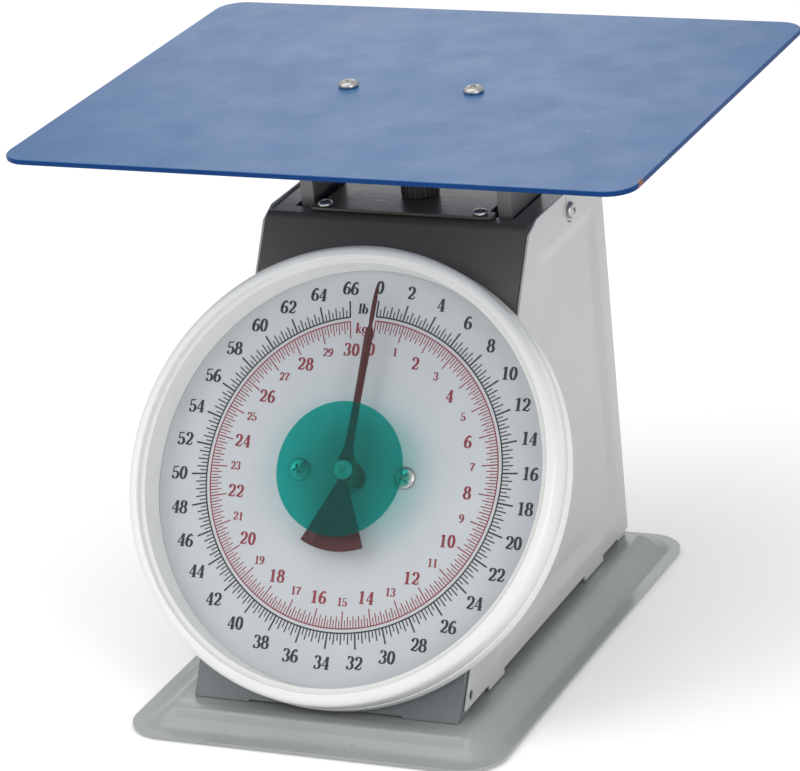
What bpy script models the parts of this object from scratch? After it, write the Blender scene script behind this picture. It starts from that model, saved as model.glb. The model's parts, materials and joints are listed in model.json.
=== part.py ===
"""Mechanical dial platform scale: a 30 kg spring scale with a flat plate and a round dial that leans back.

Run with: blender --background --python part.py
Metres, +Z up, -Y to the front. The origin is on the table, under the middle of the overall box.
"""

import math

import bmesh
import bpy
from mathutils import Matrix, Vector

MM = 0.001

# ---- driving dimensions -------------------------------------------------------------------------
GAP = 0.3 * MM  # clearance kept between pieces that rest on each other
SHEET = 1.2 * MM  # housing and base sheet

LEAN = math.radians(33)  # how far the front and the dial lean back
LOAD_Y = 30 * MM  # the vertical line that the load, springs and plate are centred on

PLATE_WIDTH = 305 * MM
PLATE_DEPTH = 242 * MM
PLATE_THICK = 2.5 * MM
PLATE_TOP = 254 * MM
PLATE_CORNER = 13 * MM
PLATE_SCREW_X = 31.5 * MM

BASE_HALF_WIDTH = 92 * MM
BASE_FRONT = -151 * MM
BASE_BACK = 107 * MM
BASE_CORNER = 19 * MM
BASE_RIM_TOP = 2.4 * MM
BASE_TOP = 10 * MM

HOUSING_HALF_WIDTH = 67 * MM
HOUSING_TOP = 201 * MM
HOUSING_BOTTOM = 10.4 * MM
HOUSING_BACK = 88 * MM
HOUSING_FRONT_TOP = 0 * MM  # y of the bend between the sloping front and the top
SIDE_FLANGE = 14 * MM
SHELL_HALF_WIDTH = HOUSING_HALF_WIDTH - SHEET - GAP
CAP_FRONT_LENGTH = 78 * MM  # how far the dark cap comes down the sloping front

DIAL_BELOW_TOP = 120.3 * MM  # from the top bend down the slope to the dial's centre
DIAL_STAND_OFF = 7 * MM  # from the front panel to the printed face
DIAL_RADIUS = 97.6 * MM
RIM_DROP = 2.3 * MM  # the rim, lens, face disc and pan sit this much below the pointer's axis
BEZEL_RADIUS = 105.5 * MM
LENS_RADIUS = 99.4 * MM
LENS_BACK = 13.8 * MM
LENS_THICK = 2 * MM
DISC_RADIUS = 31.3 * MM
DIAL_SCREW_X = 26.3 * MM
ROUND_SEGMENTS = 64

SCALE_SWEEP = math.radians(350.5)  # the pointer's turn from 0 to 30 kg
TOOTH_MODULE = 0.5 * MM
PINION_TEETH = 14
PITCH_RADIUS = TOOTH_MODULE * PINION_TEETH / 2
RACK_TRAVEL = PITCH_RADIUS * SCALE_SWEEP
CARRIER_TRAVEL = RACK_TRAVEL / math.cos(LEAN)

LEG_OUTER_X = 53 * MM
LEG_INNER_X = 46.5 * MM
LEG_HALF_DEPTH = 18 * MM
LEG_STEEL = 2.5 * MM
LEG_BOTTOM = 62 * MM

UPRIGHT_X = 60 * MM
UPRIGHT_THICK = 3 * MM
UPRIGHT_FRONT = 64 * MM
UPRIGHT_BACK = 84 * MM
BEAM_TOP = 194 * MM
BEAM_THICK = 3 * MM

LINK_PIVOT_Y = 78 * MM
LINK_PIN_Y = 42.5 * MM
UPPER_PIN_Z = 164 * MM
LOWER_PIN_Z = 84 * MM
PIN_RADIUS = 2.5 * MM
LINK_ARM_X = 55.8 * MM
LINK_ARM_THICK = 1.5 * MM

SPRING_X = 18 * MM
SPRING_RADIUS = 7.7 * MM  # to the middle of the wire
WIRE_RADIUS = 1.3 * MM
SPRING_COILS = 15
SPRING_PITCH = 3.7 * MM
YOKE_BOTTOM = 172 * MM
YOKE_THICK = 6 * MM
ANCHOR_BOTTOM = 70 * MM
ANCHOR_THICK = 7 * MM
ZERO_SCREW_RADIUS = 4 * MM
KNOB_RADIUS = 9 * MM
KNOB_HEIGHT = 9 * MM

MOVEMENT_X = 34 * MM
MOVEMENT_FRONT = -9 * MM  # along the dial's normal, measured from the printed face
MOVEMENT_BACK = -34 * MM
MOVEMENT_LOW = -7 * MM  # along the dial, measured from its centre
MOVEMENT_HIGH = 16 * MM
RACK_MIDDLE = -24 * MM
RACK_FACE = 5 * MM
DRIVE_PIN_BELOW = 20 * MM
DRIVE_PIN_RADIUS = 1.5 * MM

UP_DIAL = Vector((0, math.sin(LEAN), math.cos(LEAN)))
OUT_OF_DIAL = Vector((0, -math.cos(LEAN), math.sin(LEAN)))
TOP_BEND = Vector((0, HOUSING_FRONT_TOP, HOUSING_TOP))
DIAL_CENTRE = TOP_BEND - UP_DIAL * DIAL_BELOW_TOP + OUT_OF_DIAL * DIAL_STAND_OFF


# ---- materials ----------------------------------------------------------------------------------
def make_material(name, colour, roughness, metallic=0.0, alpha=1.0):
    material = bpy.data.materials.new(name)
    material.use_nodes = True
    shader = material.node_tree.nodes["Principled BSDF"]
    shader.inputs["Base Color"].default_value = (*colour, 1)
    shader.inputs["Roughness"].default_value = roughness
    shader.inputs["Metallic"].default_value = metallic
    shader.inputs["Alpha"].default_value = alpha
    return material


def make_materials():
    return {
        "blue_paint": make_material("blue_paint", (0.11, 0.22, 0.47), 0.45),
        "grey_paint": make_material("grey_paint", (0.5, 0.51, 0.5), 0.35),
        "dark_paint": make_material("dark_paint", (0.07, 0.07, 0.07), 0.5),
        "white_plastic": make_material("white_plastic", (0.8, 0.8, 0.78), 0.3),
        "dial_print": make_material("dial_print", (0.75, 0.78, 0.8), 0.4),
        "clear_lens": make_material("clear_lens", (0.9, 0.92, 0.92), 0.05, alpha=0.15),
        "green_film": make_material("green_film", (0.02, 0.4, 0.33), 0.2, alpha=0.75),
        "red_enamel": make_material("red_enamel", (0.1, 0.02, 0.02), 0.4),
        "zinc_steel": make_material("zinc_steel", (0.6, 0.6, 0.58), 0.3, 1.0),
        "brass": make_material("brass", (0.7, 0.5, 0.2), 0.3, 1.0),
        "black_plastic": make_material("black_plastic", (0.03, 0.03, 0.03), 0.5),
        "rubber": make_material("rubber", (0.03, 0.03, 0.03), 0.8),
    }


# ---- modelling helpers --------------------------------------------------------------------------
def clear_scene():
    for obj in list(bpy.data.objects):
        bpy.data.objects.remove(obj, do_unlink=True)


def add_object(name, mesh, material=None, matrix=None, parent=None):
    obj = bpy.data.objects.new(name, mesh)
    bpy.context.scene.collection.objects.link(obj)
    obj.matrix_world = matrix or Matrix.Identity(4)
    if material:
        mesh.materials.append(material)
    if parent:
        obj.parent = parent
        obj.matrix_parent_inverse = parent.matrix_world.inverted()
    return obj


def add_from_bmesh(name, bm, material=None, matrix=None, parent=None, smooth=False):
    bmesh.ops.recalc_face_normals(bm, faces=bm.faces)
    mesh = bpy.data.meshes.new(name)
    bm.to_mesh(mesh)
    bm.free()
    if smooth:
        mesh.shade_smooth()
        mesh.set_sharp_from_angle(angle=math.radians(35))
    return add_object(name, mesh, material, matrix, parent)


def add_pivot(name, matrix):
    pivot = bpy.data.objects.new(name, None)
    bpy.context.scene.collection.objects.link(pivot)
    pivot.matrix_world = matrix
    bpy.context.view_layer.update()
    return pivot


def prism(name, outline, start, end, material=None, matrix=None, parent=None, smooth=False):
    """A solid with this (x, y) outline, from z = start to z = end."""
    bm = bmesh.new()
    bottom = bm.faces.new([bm.verts.new((x, y, start)) for x, y in outline])
    grown = bmesh.ops.extrude_face_region(bm, geom=[bottom])["geom"]
    moved = [item for item in grown if isinstance(item, bmesh.types.BMVert)]
    bmesh.ops.translate(bm, verts=moved, vec=(0, 0, end - start))
    return add_from_bmesh(name, bm, material, matrix, parent, smooth)


def box(name, low, high, material=None, matrix=None, parent=None):
    outline = [(low[0], low[1]), (high[0], low[1]), (high[0], high[1]), (low[0], high[1])]
    return prism(name, outline, low[2], high[2], material, matrix, parent)


def circle(radius, segments, offset=0.0):
    """Points round a circle. The first is this share of a step away from +X."""
    steps = [2 * math.pi * (i + offset) / segments for i in range(segments)]
    return [(radius * math.cos(angle), radius * math.sin(angle)) for angle in steps]


def cylinder(name, radius, start, end, material=None, matrix=None, parent=None, segments=16):
    outline = circle(radius, segments, 0.37)
    return prism(name, outline, start, end, material, matrix, parent, smooth=True)


def turned(name, profile, segments, material=None, matrix=None, parent=None):
    """A solid of revolution about z from a closed (radius, z) profile. Radius 0 is a point on the axis."""
    bm = bmesh.new()
    rings = []
    for radius, z in profile:
        if radius == 0:
            rings.append([bm.verts.new((0, 0, z))])
        else:
            rings.append([bm.verts.new((x, y, z)) for x, y in circle(radius, segments)])
    for first, second in zip(rings, rings[1:] + rings[:1]):
        for i in range(segments):
            j = (i + 1) % segments
            corners = [first[i % len(first)], first[j % len(first)]]
            corners += [second[j % len(second)], second[i % len(second)]]
            corners = list(dict.fromkeys(corners))
            if len(corners) > 2:
                bm.faces.new(corners)
    return add_from_bmesh(name, bm, material, matrix, parent, smooth=True)


def rounded(corners, radii, steps=6):
    """A closed outline through these corners, with an arc of the given radius at each one."""
    outline = []
    count = len(corners)
    for i, radius in enumerate(radii):
        corner = Vector(corners[i])
        back = (Vector(corners[i - 1]) - corner).normalized()
        ahead = (Vector(corners[(i + 1) % count]) - corner).normalized()
        if radius == 0:
            outline.append(tuple(corner))
            continue
        half = back.angle(ahead) / 2
        centre = corner + (back + ahead).normalized() * radius / math.sin(half)
        start = corner + back * radius / math.tan(half) - centre
        end = corner + ahead * radius / math.tan(half) - centre
        sweep = start.angle_signed(end)
        for k in range(steps + 1):
            turn = Matrix.Rotation(-sweep * k / steps, 2)
            outline.append(tuple(centre + turn @ start))
    return outline


def rectangle(half_x, low_y, high_y):
    return [(-half_x, low_y), (half_x, low_y), (half_x, high_y), (-half_x, high_y)]


def as_cutter(obj):
    obj.hide_render = True
    obj.display_type = "WIRE"
    return obj


def combine(obj, other, operation):
    modifier = obj.modifiers.new(other.name, "BOOLEAN")
    modifier.operation = operation
    modifier.object = as_cutter(other)
    modifier.solver = "EXACT"


def cut(obj, *cutters):
    for cutter in cutters:
        combine(obj, cutter, "DIFFERENCE")
    return obj


def join(obj, *others):
    for other in others:
        combine(obj, other, "UNION")
    return obj


def along_x(y, z):
    """A matrix whose local z runs along world +X through (y, z)."""
    return Matrix.Translation((0, y, z)) @ Matrix.Rotation(math.pi / 2, 4, "Y")


def on_dial(x=0.0, up=0.0, out=0.0):
    """A matrix with local x across the dial, local y up it and local z out of it, at that point of it."""
    place = DIAL_CENTRE + UP_DIAL * up + OUT_OF_DIAL * out + Vector((x, 0, 0))
    axes = Matrix.Rotation(math.pi / 2 - LEAN, 4, "X")
    return Matrix.Translation(place) @ axes


def across(outline_yz):
    """Turns a (y, z) outline into the (x, y) one that along_profile's matrix lays back in the YZ plane."""
    return [(y, z) for y, z in outline_yz]


PROFILE_AXES = Matrix(((0, 0, 1, 0), (1, 0, 0, 0), (0, 1, 0, 0), (0, 0, 0, 1)))


def profile_prism(name, outline_yz, half_width, material=None):
    """A solid with this (y, z) outline, as wide as half_width on each side of the middle plane."""
    return prism(name, across(outline_yz), -half_width, half_width, material, PROFILE_AXES.copy())


def slope_point(below_top, inwards=0.0):
    """(y, z) of a point on the sloping front, this far below the top bend and this far inside it."""
    point = TOP_BEND - UP_DIAL * below_top - OUT_OF_DIAL * inwards
    return point.y, point.z


# ---- base and feet ------------------------------------------------------------------------------
def base_loop(inset, height):
    """One contour of the pressed base, this far in from its edge."""
    radius = max(BASE_CORNER - inset, 5 * MM)
    corners = rectangle(BASE_HALF_WIDTH - inset, BASE_FRONT + inset, BASE_BACK - inset)
    return [(x, y, height) for x, y in rounded(corners, [radius] * 4)]


def make_base(paint, rubber):
    rise = BASE_TOP - BASE_RIM_TOP
    steps = [(0, 0), (6, 0), (8, 0.06), (11, 0.36), (14, 0.74), (17, 0.96), (19.5, 1)]
    bm = bmesh.new()
    loops = []
    for inset, share in steps:
        ring = base_loop(inset * MM, BASE_RIM_TOP + rise * share)
        loops.append([bm.verts.new(point) for point in ring])
    for outer, inner in zip(loops, loops[1:]):
        for i in range(len(outer)):
            j = (i + 1) % len(outer)
            bm.faces.new((outer[i], outer[j], inner[j], inner[i]))
    bm.faces.new(loops[-1])
    base = add_from_bmesh("base_plate", bm, paint, smooth=True)
    shell = base.modifiers.new("sheet", "SOLIDIFY")
    shell.thickness = SHEET
    shell.offset = -1
    shell.use_even_offset = True
    foot_places = {
        "rubber_foot_front_left": (-60 * MM, -119 * MM),
        "rubber_foot_front_right": (60 * MM, -119 * MM),
        "rubber_foot_back_left": (-60 * MM, 75 * MM),
        "rubber_foot_back_right": (60 * MM, 75 * MM),
    }
    height = BASE_TOP - SHEET - GAP
    profile = [(0, 0), (8 * MM, 0), (9 * MM, 1 * MM), (9.6 * MM, height), (0, height)]
    for name, (x, y) in foot_places.items():
        turned(name, profile, 20, rubber, Matrix.Translation((x, y, 0)))


# ---- housing ------------------------------------------------------------------------------------
def bent_shell(name, outside, inside, material):
    """A sheet bent round a (y, z) profile, with flanges folded in along both sides."""
    shell = profile_prism(name, outside, SHELL_HALF_WIDTH, material)
    hollow = profile_prism(name + "_hollow", inside, SHELL_HALF_WIDTH - SHEET)
    return cut(shell, hollow)


def make_cap(paint):
    """The dark cap: upper front, top and a short flange down the back."""
    deep = SIDE_FLANGE
    back_low = HOUSING_TOP - 18 * MM
    rear = HOUSING_BACK
    outside = rounded(
        [
            slope_point(CAP_FRONT_LENGTH),
            (HOUSING_FRONT_TOP, HOUSING_TOP),
            (rear, HOUSING_TOP),
            (rear, back_low),
            (rear - deep, back_low),
            (rear - deep, HOUSING_TOP - deep),
            (HOUSING_FRONT_TOP + deep * 0.9, HOUSING_TOP - deep),
            slope_point(CAP_FRONT_LENGTH, deep),
        ],
        [0, 5 * MM, 3 * MM, 0, 0, 2 * MM, 6 * MM, 0],
        4,
    )
    beyond = 30 * MM
    inside = rounded(
        [
            slope_point(CAP_FRONT_LENGTH + beyond, SHEET),
            (HOUSING_FRONT_TOP + SHEET * math.tan((math.pi / 2 - LEAN) / 2), HOUSING_TOP - SHEET),
            (rear - SHEET, HOUSING_TOP - SHEET),
            (rear - SHEET, back_low - beyond),
            (rear - deep - beyond, back_low - beyond),
            slope_point(CAP_FRONT_LENGTH + beyond, deep + beyond),
        ],
        [0, 4 * MM, 2 * MM, 0, 0, 0],
        4,
    )
    cap = bent_shell("top_cap", outside, inside, paint)
    slot_low = LOAD_Y - LEG_HALF_DEPTH - 2.5 * MM
    slot_high = LOAD_Y + LEG_HALF_DEPTH + 2.5 * MM
    bore = ZERO_SCREW_RADIUS + 1.5 * MM
    middle = Matrix.Translation((0, LOAD_Y, 0))
    cut(cap, cylinder("cap_bore", bore, 190 * MM, 210 * MM, matrix=middle, segments=20))
    for side in (-1, 1):
        ends = sorted((side * 44.5 * MM, side * 55.5 * MM))
        low = (ends[0], slot_low, HOUSING_TOP - 5 * MM)
        cut(cap, box("cap_slot", low, (ends[1], slot_high, HOUSING_TOP + 5 * MM)))
        for y in (8.5 * MM, 51.5 * MM):
            place = Matrix.Translation((side * 39 * MM, y, 0))
            cut(cap, cylinder("cap_hole", 1.9 * MM, 190 * MM, 210 * MM, matrix=place, segments=12))
        cut(cap, side_hole("cap_side_hole", side, SIDE_SCREW_TOP))
    return cap


SIDE_SCREW_TOP = (47 * MM, 192.5 * MM)
SIDE_SCREW_FRONT = (slope_point(213 * MM, 7 * MM)[0], slope_point(213 * MM, 7 * MM)[1])


def side_hole(name, side, place):
    matrix = along_x(*place) @ Matrix.Translation((0, 0, side * 65 * MM))
    return cylinder(name, 1.9 * MM, -6 * MM, 6 * MM, matrix=matrix, segments=12)


def make_front_panel(paint):
    """The lower front: a sloping sheet with folded side flanges and a tab into the base."""
    top = CAP_FRONT_LENGTH + 0.5 * MM
    bottom = (HOUSING_TOP - HOUSING_BOTTOM) / math.cos(LEAN)
    deep = 10 * MM
    foot_back = (slope_point(bottom)[0] + deep / math.cos(LEAN), HOUSING_BOTTOM)
    outside = [slope_point(top), slope_point(bottom), foot_back, slope_point(top, deep)]
    beyond = 25 * MM
    inside = [
        slope_point(top - beyond, SHEET),
        slope_point(bottom + beyond, SHEET),
        slope_point(bottom + beyond, deep + beyond),
        slope_point(top - beyond, deep + beyond),
    ]
    panel = bent_shell("front_panel", outside, inside, paint)
    notch_z = HOUSING_BOTTOM + 0.7 * MM
    low = (-38 * MM, -140 * MM, 5 * MM)
    high = (38 * MM, slope_point(bottom)[0] + 2.5 * MM, notch_z)
    cut(panel, box("front_notch", low, high))
    for side in (-1, 1):
        hole = cylinder("front_hole", 2.3 * MM, -12 * MM, 0, matrix=on_dial(side * DIAL_SCREW_X))
        cut(panel, hole)
        cut(panel, side_hole("front_side_hole", side, SIDE_SCREW_FRONT))
    shaft_hole = cylinder("front_shaft_hole", 7 * MM, -12 * MM, 0, matrix=on_dial(), segments=24)
    return cut(panel, shaft_hole)


def make_back_panel(paint):
    top = HOUSING_TOP - 18.5 * MM
    deep = 10 * MM
    front = HOUSING_BACK - deep
    outside = [(HOUSING_BACK, HOUSING_BOTTOM), (HOUSING_BACK, top), (front, top), (front, HOUSING_BOTTOM)]
    inner = HOUSING_BACK - SHEET
    beyond = 5 * MM
    inside = [
        (inner, HOUSING_BOTTOM - beyond),
        (inner, top + beyond),
        (front - beyond, top + beyond),
        (front - beyond, HOUSING_BOTTOM - beyond),
    ]
    return bent_shell("back_panel", outside, inside, paint)


def side_outline():
    """The (y, z) edge of a side panel, with its two bottom tabs."""
    low = HOUSING_BOTTOM + 3.4 * MM
    tab = HOUSING_BOTTOM + 0.8 * MM
    front_low = slope_point((HOUSING_TOP - low) / math.cos(LEAN))[0] + 4 * MM
    top = HOUSING_TOP + 1 * MM
    outline = [(front_low, low), (-90 * MM, low), (-90 * MM, tab), (-72 * MM, tab), (-72 * MM, low)]
    outline += [(30 * MM, low), (30 * MM, tab), (54 * MM, tab), (54 * MM, low), (HOUSING_BACK, low)]
    outline += [(HOUSING_BACK, top), (HOUSING_FRONT_TOP + 8 * MM, top), slope_point(4 * MM)]
    return outline


def pressed_outline(inset):
    """The (y, z) outline of a side panel's pressed-in field, shrunk by inset."""
    low = 20 * MM + inset
    inward = 16 * MM + inset
    front_y = slope_point((slope_point(0, inward)[1] - low) / math.cos(LEAN), inward)[0]
    top_y, top_z = slope_point(30 * MM + inset * 0.6, inward + 4 * MM)
    corners = [
        (front_y, low),
        (HOUSING_BACK - 10.5 * MM - inset, low),
        (HOUSING_BACK - 10.5 * MM - inset, 185.5 * MM - inset),
        (top_y + 8 * MM, 185.5 * MM - inset),
        (top_y, top_z - 2 * MM),
    ]
    return rounded(corners, [8 * MM, 26 * MM, 7 * MM, 5 * MM, 8 * MM])


def make_side_panel(name, side, paint):
    inner_x = side * (SHELL_HALF_WIDTH + GAP)
    bevel_height = side * -1.6 * MM
    bm = bmesh.new()
    edge = [bm.verts.new((inner_x, y, z)) for y, z in side_outline()]
    foot = [bm.verts.new((inner_x, y, z)) for y, z in pressed_outline(0)]
    crown = [bm.verts.new((inner_x + bevel_height, y, z)) for y, z in pressed_outline(9.5 * MM)]
    rim_edges = []
    for loop in (edge, foot):
        for i in range(len(loop)):
            rim_edges.append(bm.edges.new((loop[i], loop[(i + 1) % len(loop)])))
    bmesh.ops.triangle_fill(bm, use_beauty=True, edges=rim_edges, normal=(side, 0, 0))
    for i in range(len(foot)):
        j = (i + 1) % len(foot)
        bm.faces.new((foot[i], foot[j], crown[j], crown[i]))
    bm.faces.new(crown)
    bmesh.ops.recalc_face_normals(bm, faces=bm.faces)
    if sum(face.normal.x * face.calc_area() for face in bm.faces) * side < 0:
        bmesh.ops.reverse_faces(bm, faces=bm.faces)
    mesh = bpy.data.meshes.new(name)
    bm.to_mesh(mesh)
    bm.free()
    panel = add_object(name, mesh, paint)
    sheet = panel.modifiers.new("sheet", "SOLIDIFY")
    sheet.thickness = SHEET
    sheet.offset = 1
    sheet.use_even_offset = True
    cut(panel, side_hole(name + "_top_hole", side, SIDE_SCREW_TOP))
    cut(panel, side_hole(name + "_front_hole", side, SIDE_SCREW_FRONT))
    return panel


# ---- screws -------------------------------------------------------------------------------------
def pan_screw(name, head_radius, head_height, shank_radius, shank_length, material, matrix, parent=None):
    """A cross-recessed pan-head screw. Local z points out of its head, and z = 0 is under the head."""
    rise = head_height
    profile = [
        (0, rise),
        (head_radius * 0.62, rise * 0.97),
        (head_radius * 0.9, rise * 0.66),
        (head_radius, rise * 0.2),
        (head_radius, 0),
        (shank_radius, 0),
        (shank_radius, -shank_length),
        (0, -shank_length),
    ]
    screw = turned(name, profile, 16, material, matrix, parent)
    long = head_radius * 0.42
    wide = head_radius * 0.11
    floor = rise * 0.35
    for axis, (x, y) in {"a": (long, wide), "b": (wide, long)}.items():
        slot = box(name + "_recess_" + axis, (-x, -y, floor), (x, y, rise * 2), matrix=matrix)
        cut(screw, slot)
    return screw


# ---- weighing plate, carrier and cover ----------------------------------------------------------
def make_platform(blue, dark, zinc):
    pivot = add_pivot("carrier_slide", Matrix.Translation((0, LOAD_Y, 0)))
    half_depth = PLATE_DEPTH / 2
    corners = rectangle(PLATE_WIDTH / 2, LOAD_Y - half_depth, LOAD_Y + half_depth)
    outline = rounded(corners, [PLATE_CORNER] * 4)
    bottom = PLATE_TOP - PLATE_THICK
    plate = prism("weighing_plate", outline, bottom, PLATE_TOP, blue, parent=pivot)
    web_top = bottom - GAP
    carrier = make_carrier(web_top, dark, pivot)
    for side, word in ((-1, "left"), (1, "right")):
        place = Matrix.Translation((side * PLATE_SCREW_X, LOAD_Y, 0))
        for piece in (plate, carrier):
            hole = cylinder("plate_hole", 2.7 * MM, 240 * MM, 260 * MM, matrix=place, segments=12)
            cut(piece, hole)
        seat = Matrix.Translation((side * PLATE_SCREW_X, LOAD_Y, PLATE_TOP + GAP))
        name = "plate_screw_" + word
        pan_screw(name, 4.7 * MM, 2.8 * MM, 2.3 * MM, 9 * MM, zinc, seat, pivot)
    return pivot


def make_carrier(web_top, material, pivot):
    """An upside-down U of channel steel. Its legs reach down through the cap's slots."""
    flange = LEG_OUTER_X - LEG_INNER_X
    inner_top = web_top - flange
    outline = [
        (-LEG_OUTER_X, LEG_BOTTOM),
        (-LEG_INNER_X, LEG_BOTTOM),
        (-LEG_INNER_X, inner_top),
        (LEG_INNER_X, inner_top),
        (LEG_INNER_X, LEG_BOTTOM),
        (LEG_OUTER_X, LEG_BOTTOM),
        (LEG_OUTER_X, web_top),
        (-LEG_OUTER_X, web_top),
    ]
    facing = Matrix.Translation((0, LOAD_Y, 0)) @ Matrix.Rotation(math.pi / 2, 4, "X")
    depth = LEG_HALF_DEPTH
    carrier = prism("platform_carrier", outline, -depth, depth, material, facing, pivot)
    wall = LEG_OUTER_X - LEG_STEEL
    low = (-wall, LOAD_Y - depth + LEG_STEEL, LEG_BOTTOM - 5 * MM)
    high = (wall, LOAD_Y + depth - LEG_STEEL, web_top - LEG_STEEL)
    cut(carrier, box("carrier_hollow", low, high))
    for height in (UPPER_PIN_Z, LOWER_PIN_Z):
        bore = cylinder("carrier_bore", PIN_RADIUS + GAP, -60 * MM, 60 * MM, matrix=along_x(LINK_PIN_Y, height))
        cut(carrier, bore)
    return carrier


def make_cover(dark, zinc):
    """The cover plate screwed on top of the cap, between the carrier's legs."""
    narrow = 42.5 * MM
    wide = 46 * MM
    front = LOAD_Y - 25.5 * MM
    back = LOAD_Y + 25.5 * MM
    waist = 7.5 * MM
    corners = [
        (-wide, front),
        (wide, front),
        (wide, front + waist),
        (narrow, front + waist),
        (narrow, back - waist),
        (wide, back - waist),
        (wide, back),
        (-wide, back),
        (-wide, back - waist),
        (-narrow, back - waist),
        (-narrow, front + waist),
        (-wide, front + waist),
    ]
    radii = [3 * MM, 3 * MM, 2 * MM, 1.2 * MM, 1.2 * MM, 2 * MM, 3 * MM, 3 * MM, 2 * MM, 1.2 * MM, 1.2 * MM, 2 * MM]
    bottom = HOUSING_TOP + GAP
    top = bottom + 1.5 * MM
    cover = prism("cover_plate", rounded(corners, radii, 4), bottom, top, dark)
    middle = Matrix.Translation((0, LOAD_Y, 0))
    bore = ZERO_SCREW_RADIUS + 1 * MM
    cut(cover, cylinder("cover_bore", bore, 190 * MM, 210 * MM, matrix=middle, segments=20))
    for y, row in ((8.5 * MM, "front"), (51.5 * MM, "back")):
        for side, word in ((-1, "left"), (1, "right")):
            place = Matrix.Translation((side * 39 * MM, y, 0))
            cut(cover, cylinder("cover_hole", 1.9 * MM, 190 * MM, 210 * MM, matrix=place, segments=12))
            seat = Matrix.Translation((side * 39 * MM, y, top + GAP))
            name = "cover_screw_" + row + "_" + word
            pan_screw(name, 3.5 * MM, 2.2 * MM, 1.5 * MM, 6 * MM, zinc, seat)


def make_side_screws(zinc):
    for side, word in ((-1, "left"), (1, "right")):
        turn = Matrix.Rotation(side * math.pi / 2, 4, "Y")
        y, z = SIDE_SCREW_TOP
        seat = Matrix.Translation((side * (HOUSING_HALF_WIDTH + GAP), y, z)) @ turn
        pan_screw("side_screw_" + word, 4 * MM, 2.4 * MM, 1.5 * MM, 6 * MM, zinc, seat)


# ---- dial ---------------------------------------------------------------------------------------
def make_dial(materials):
    pan_back = GAP - DIAL_STAND_OFF
    pan_floor = pan_back + SHEET
    wall_out = 100.6 * MM
    wall_in = wall_out - SHEET
    ledge_out = 93 * MM
    ledge_in = 84 * MM
    ledge_top = -0.8 * MM - GAP
    rim_top = 0
    pan_profile = [
        (0, pan_back),
        (wall_out - 1.5 * MM, pan_back),
        (wall_out, pan_back + 1.5 * MM),
        (wall_out, rim_top),
        (wall_in, rim_top),
        (wall_in, pan_floor + 1 * MM),
        (wall_in - 1 * MM, pan_floor),
        (ledge_out + 1 * MM, pan_floor),
        (ledge_out, ledge_top),
        (ledge_in, ledge_top),
        (ledge_in - 1 * MM, pan_floor),
        (0, pan_floor),
    ]
    dropped = on_dial(0, -RIM_DROP)
    pan = turned("dial_pan", pan_profile, ROUND_SEGMENTS, materials["grey_paint"], dropped)
    face_profile = [(0, -0.8 * MM), (DIAL_RADIUS, -0.8 * MM), (DIAL_RADIUS, 0), (0, 0)]
    face = turned("dial_face", face_profile, ROUND_SEGMENTS, materials["dial_print"], dropped)
    for piece, radius in ((pan, 7 * MM), (face, 6 * MM)):
        cut(piece, cylinder("centre_hole", radius, -9 * MM, 3 * MM, matrix=on_dial(), segments=24))
    for side, word in ((-1, "left"), (1, "right")):
        place = on_dial(side * DIAL_SCREW_X)
        for piece in (pan, face):
            cut(piece, cylinder("dial_hole", 2.3 * MM, -9 * MM, 3 * MM, matrix=place))
        seat = on_dial(side * DIAL_SCREW_X, 0, GAP)
        screw_name = "dial_screw_" + word
        pan_screw(screw_name, 5.2 * MM, 2.4 * MM, 2 * MM, 13 * MM, materials["zinc_steel"], seat)
        spacer_profile = [(2.4 * MM, pan_floor + GAP), (5 * MM, pan_floor + GAP)]
        spacer_profile += [(5 * MM, ledge_top), (2.4 * MM, ledge_top)]
        turned("dial_spacer_" + word, spacer_profile, 16, materials["brass"], place)
    make_bezel(materials["white_plastic"])
    lens_profile = [(0, LENS_BACK), (LENS_RADIUS, LENS_BACK), (LENS_RADIUS, LENS_BACK + LENS_THICK)]
    lens_profile += [(0, LENS_BACK + LENS_THICK)]
    turned("dial_lens", lens_profile, ROUND_SEGMENTS, materials["clear_lens"], dropped)
    disc_top = LENS_BACK - GAP
    disc_profile = [(0, disc_top - 0.4 * MM), (DISC_RADIUS, disc_top - 0.4 * MM)]
    disc_profile += [(DISC_RADIUS, disc_top), (0, disc_top)]
    turned("lens_disc", disc_profile, 48, materials["green_film"], on_dial())


def make_bezel(plastic):
    front = 16.6 * MM
    crown = 3 * MM  # radius of the ring's rounded front
    skirt_in = 101.2 * MM
    profile = [(skirt_in, -4.3 * MM), (BEZEL_RADIUS - 0.5 * MM, -4.3 * MM), (BEZEL_RADIUS, -3.5 * MM)]
    profile += [(BEZEL_RADIUS, 9 * MM)]
    for step in range(5):
        angle = math.radians(10 + 80 * step / 4)
        profile.append(
            (BEZEL_RADIUS - crown * (1.1 - math.cos(angle)), front - crown * (1 - math.sin(angle)))
        )
    seat = LENS_BACK - GAP
    profile += [(LENS_RADIUS + 0.5 * MM, front - 0.3 * MM), (LENS_RADIUS + GAP, front - 1 * MM)]
    profile += [(LENS_RADIUS + GAP, seat), (97.4 * MM, seat), (95.6 * MM, GAP), (skirt_in, GAP)]
    turned("bezel_ring", profile, ROUND_SEGMENTS, plastic, on_dial(0, -RIM_DROP))


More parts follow.
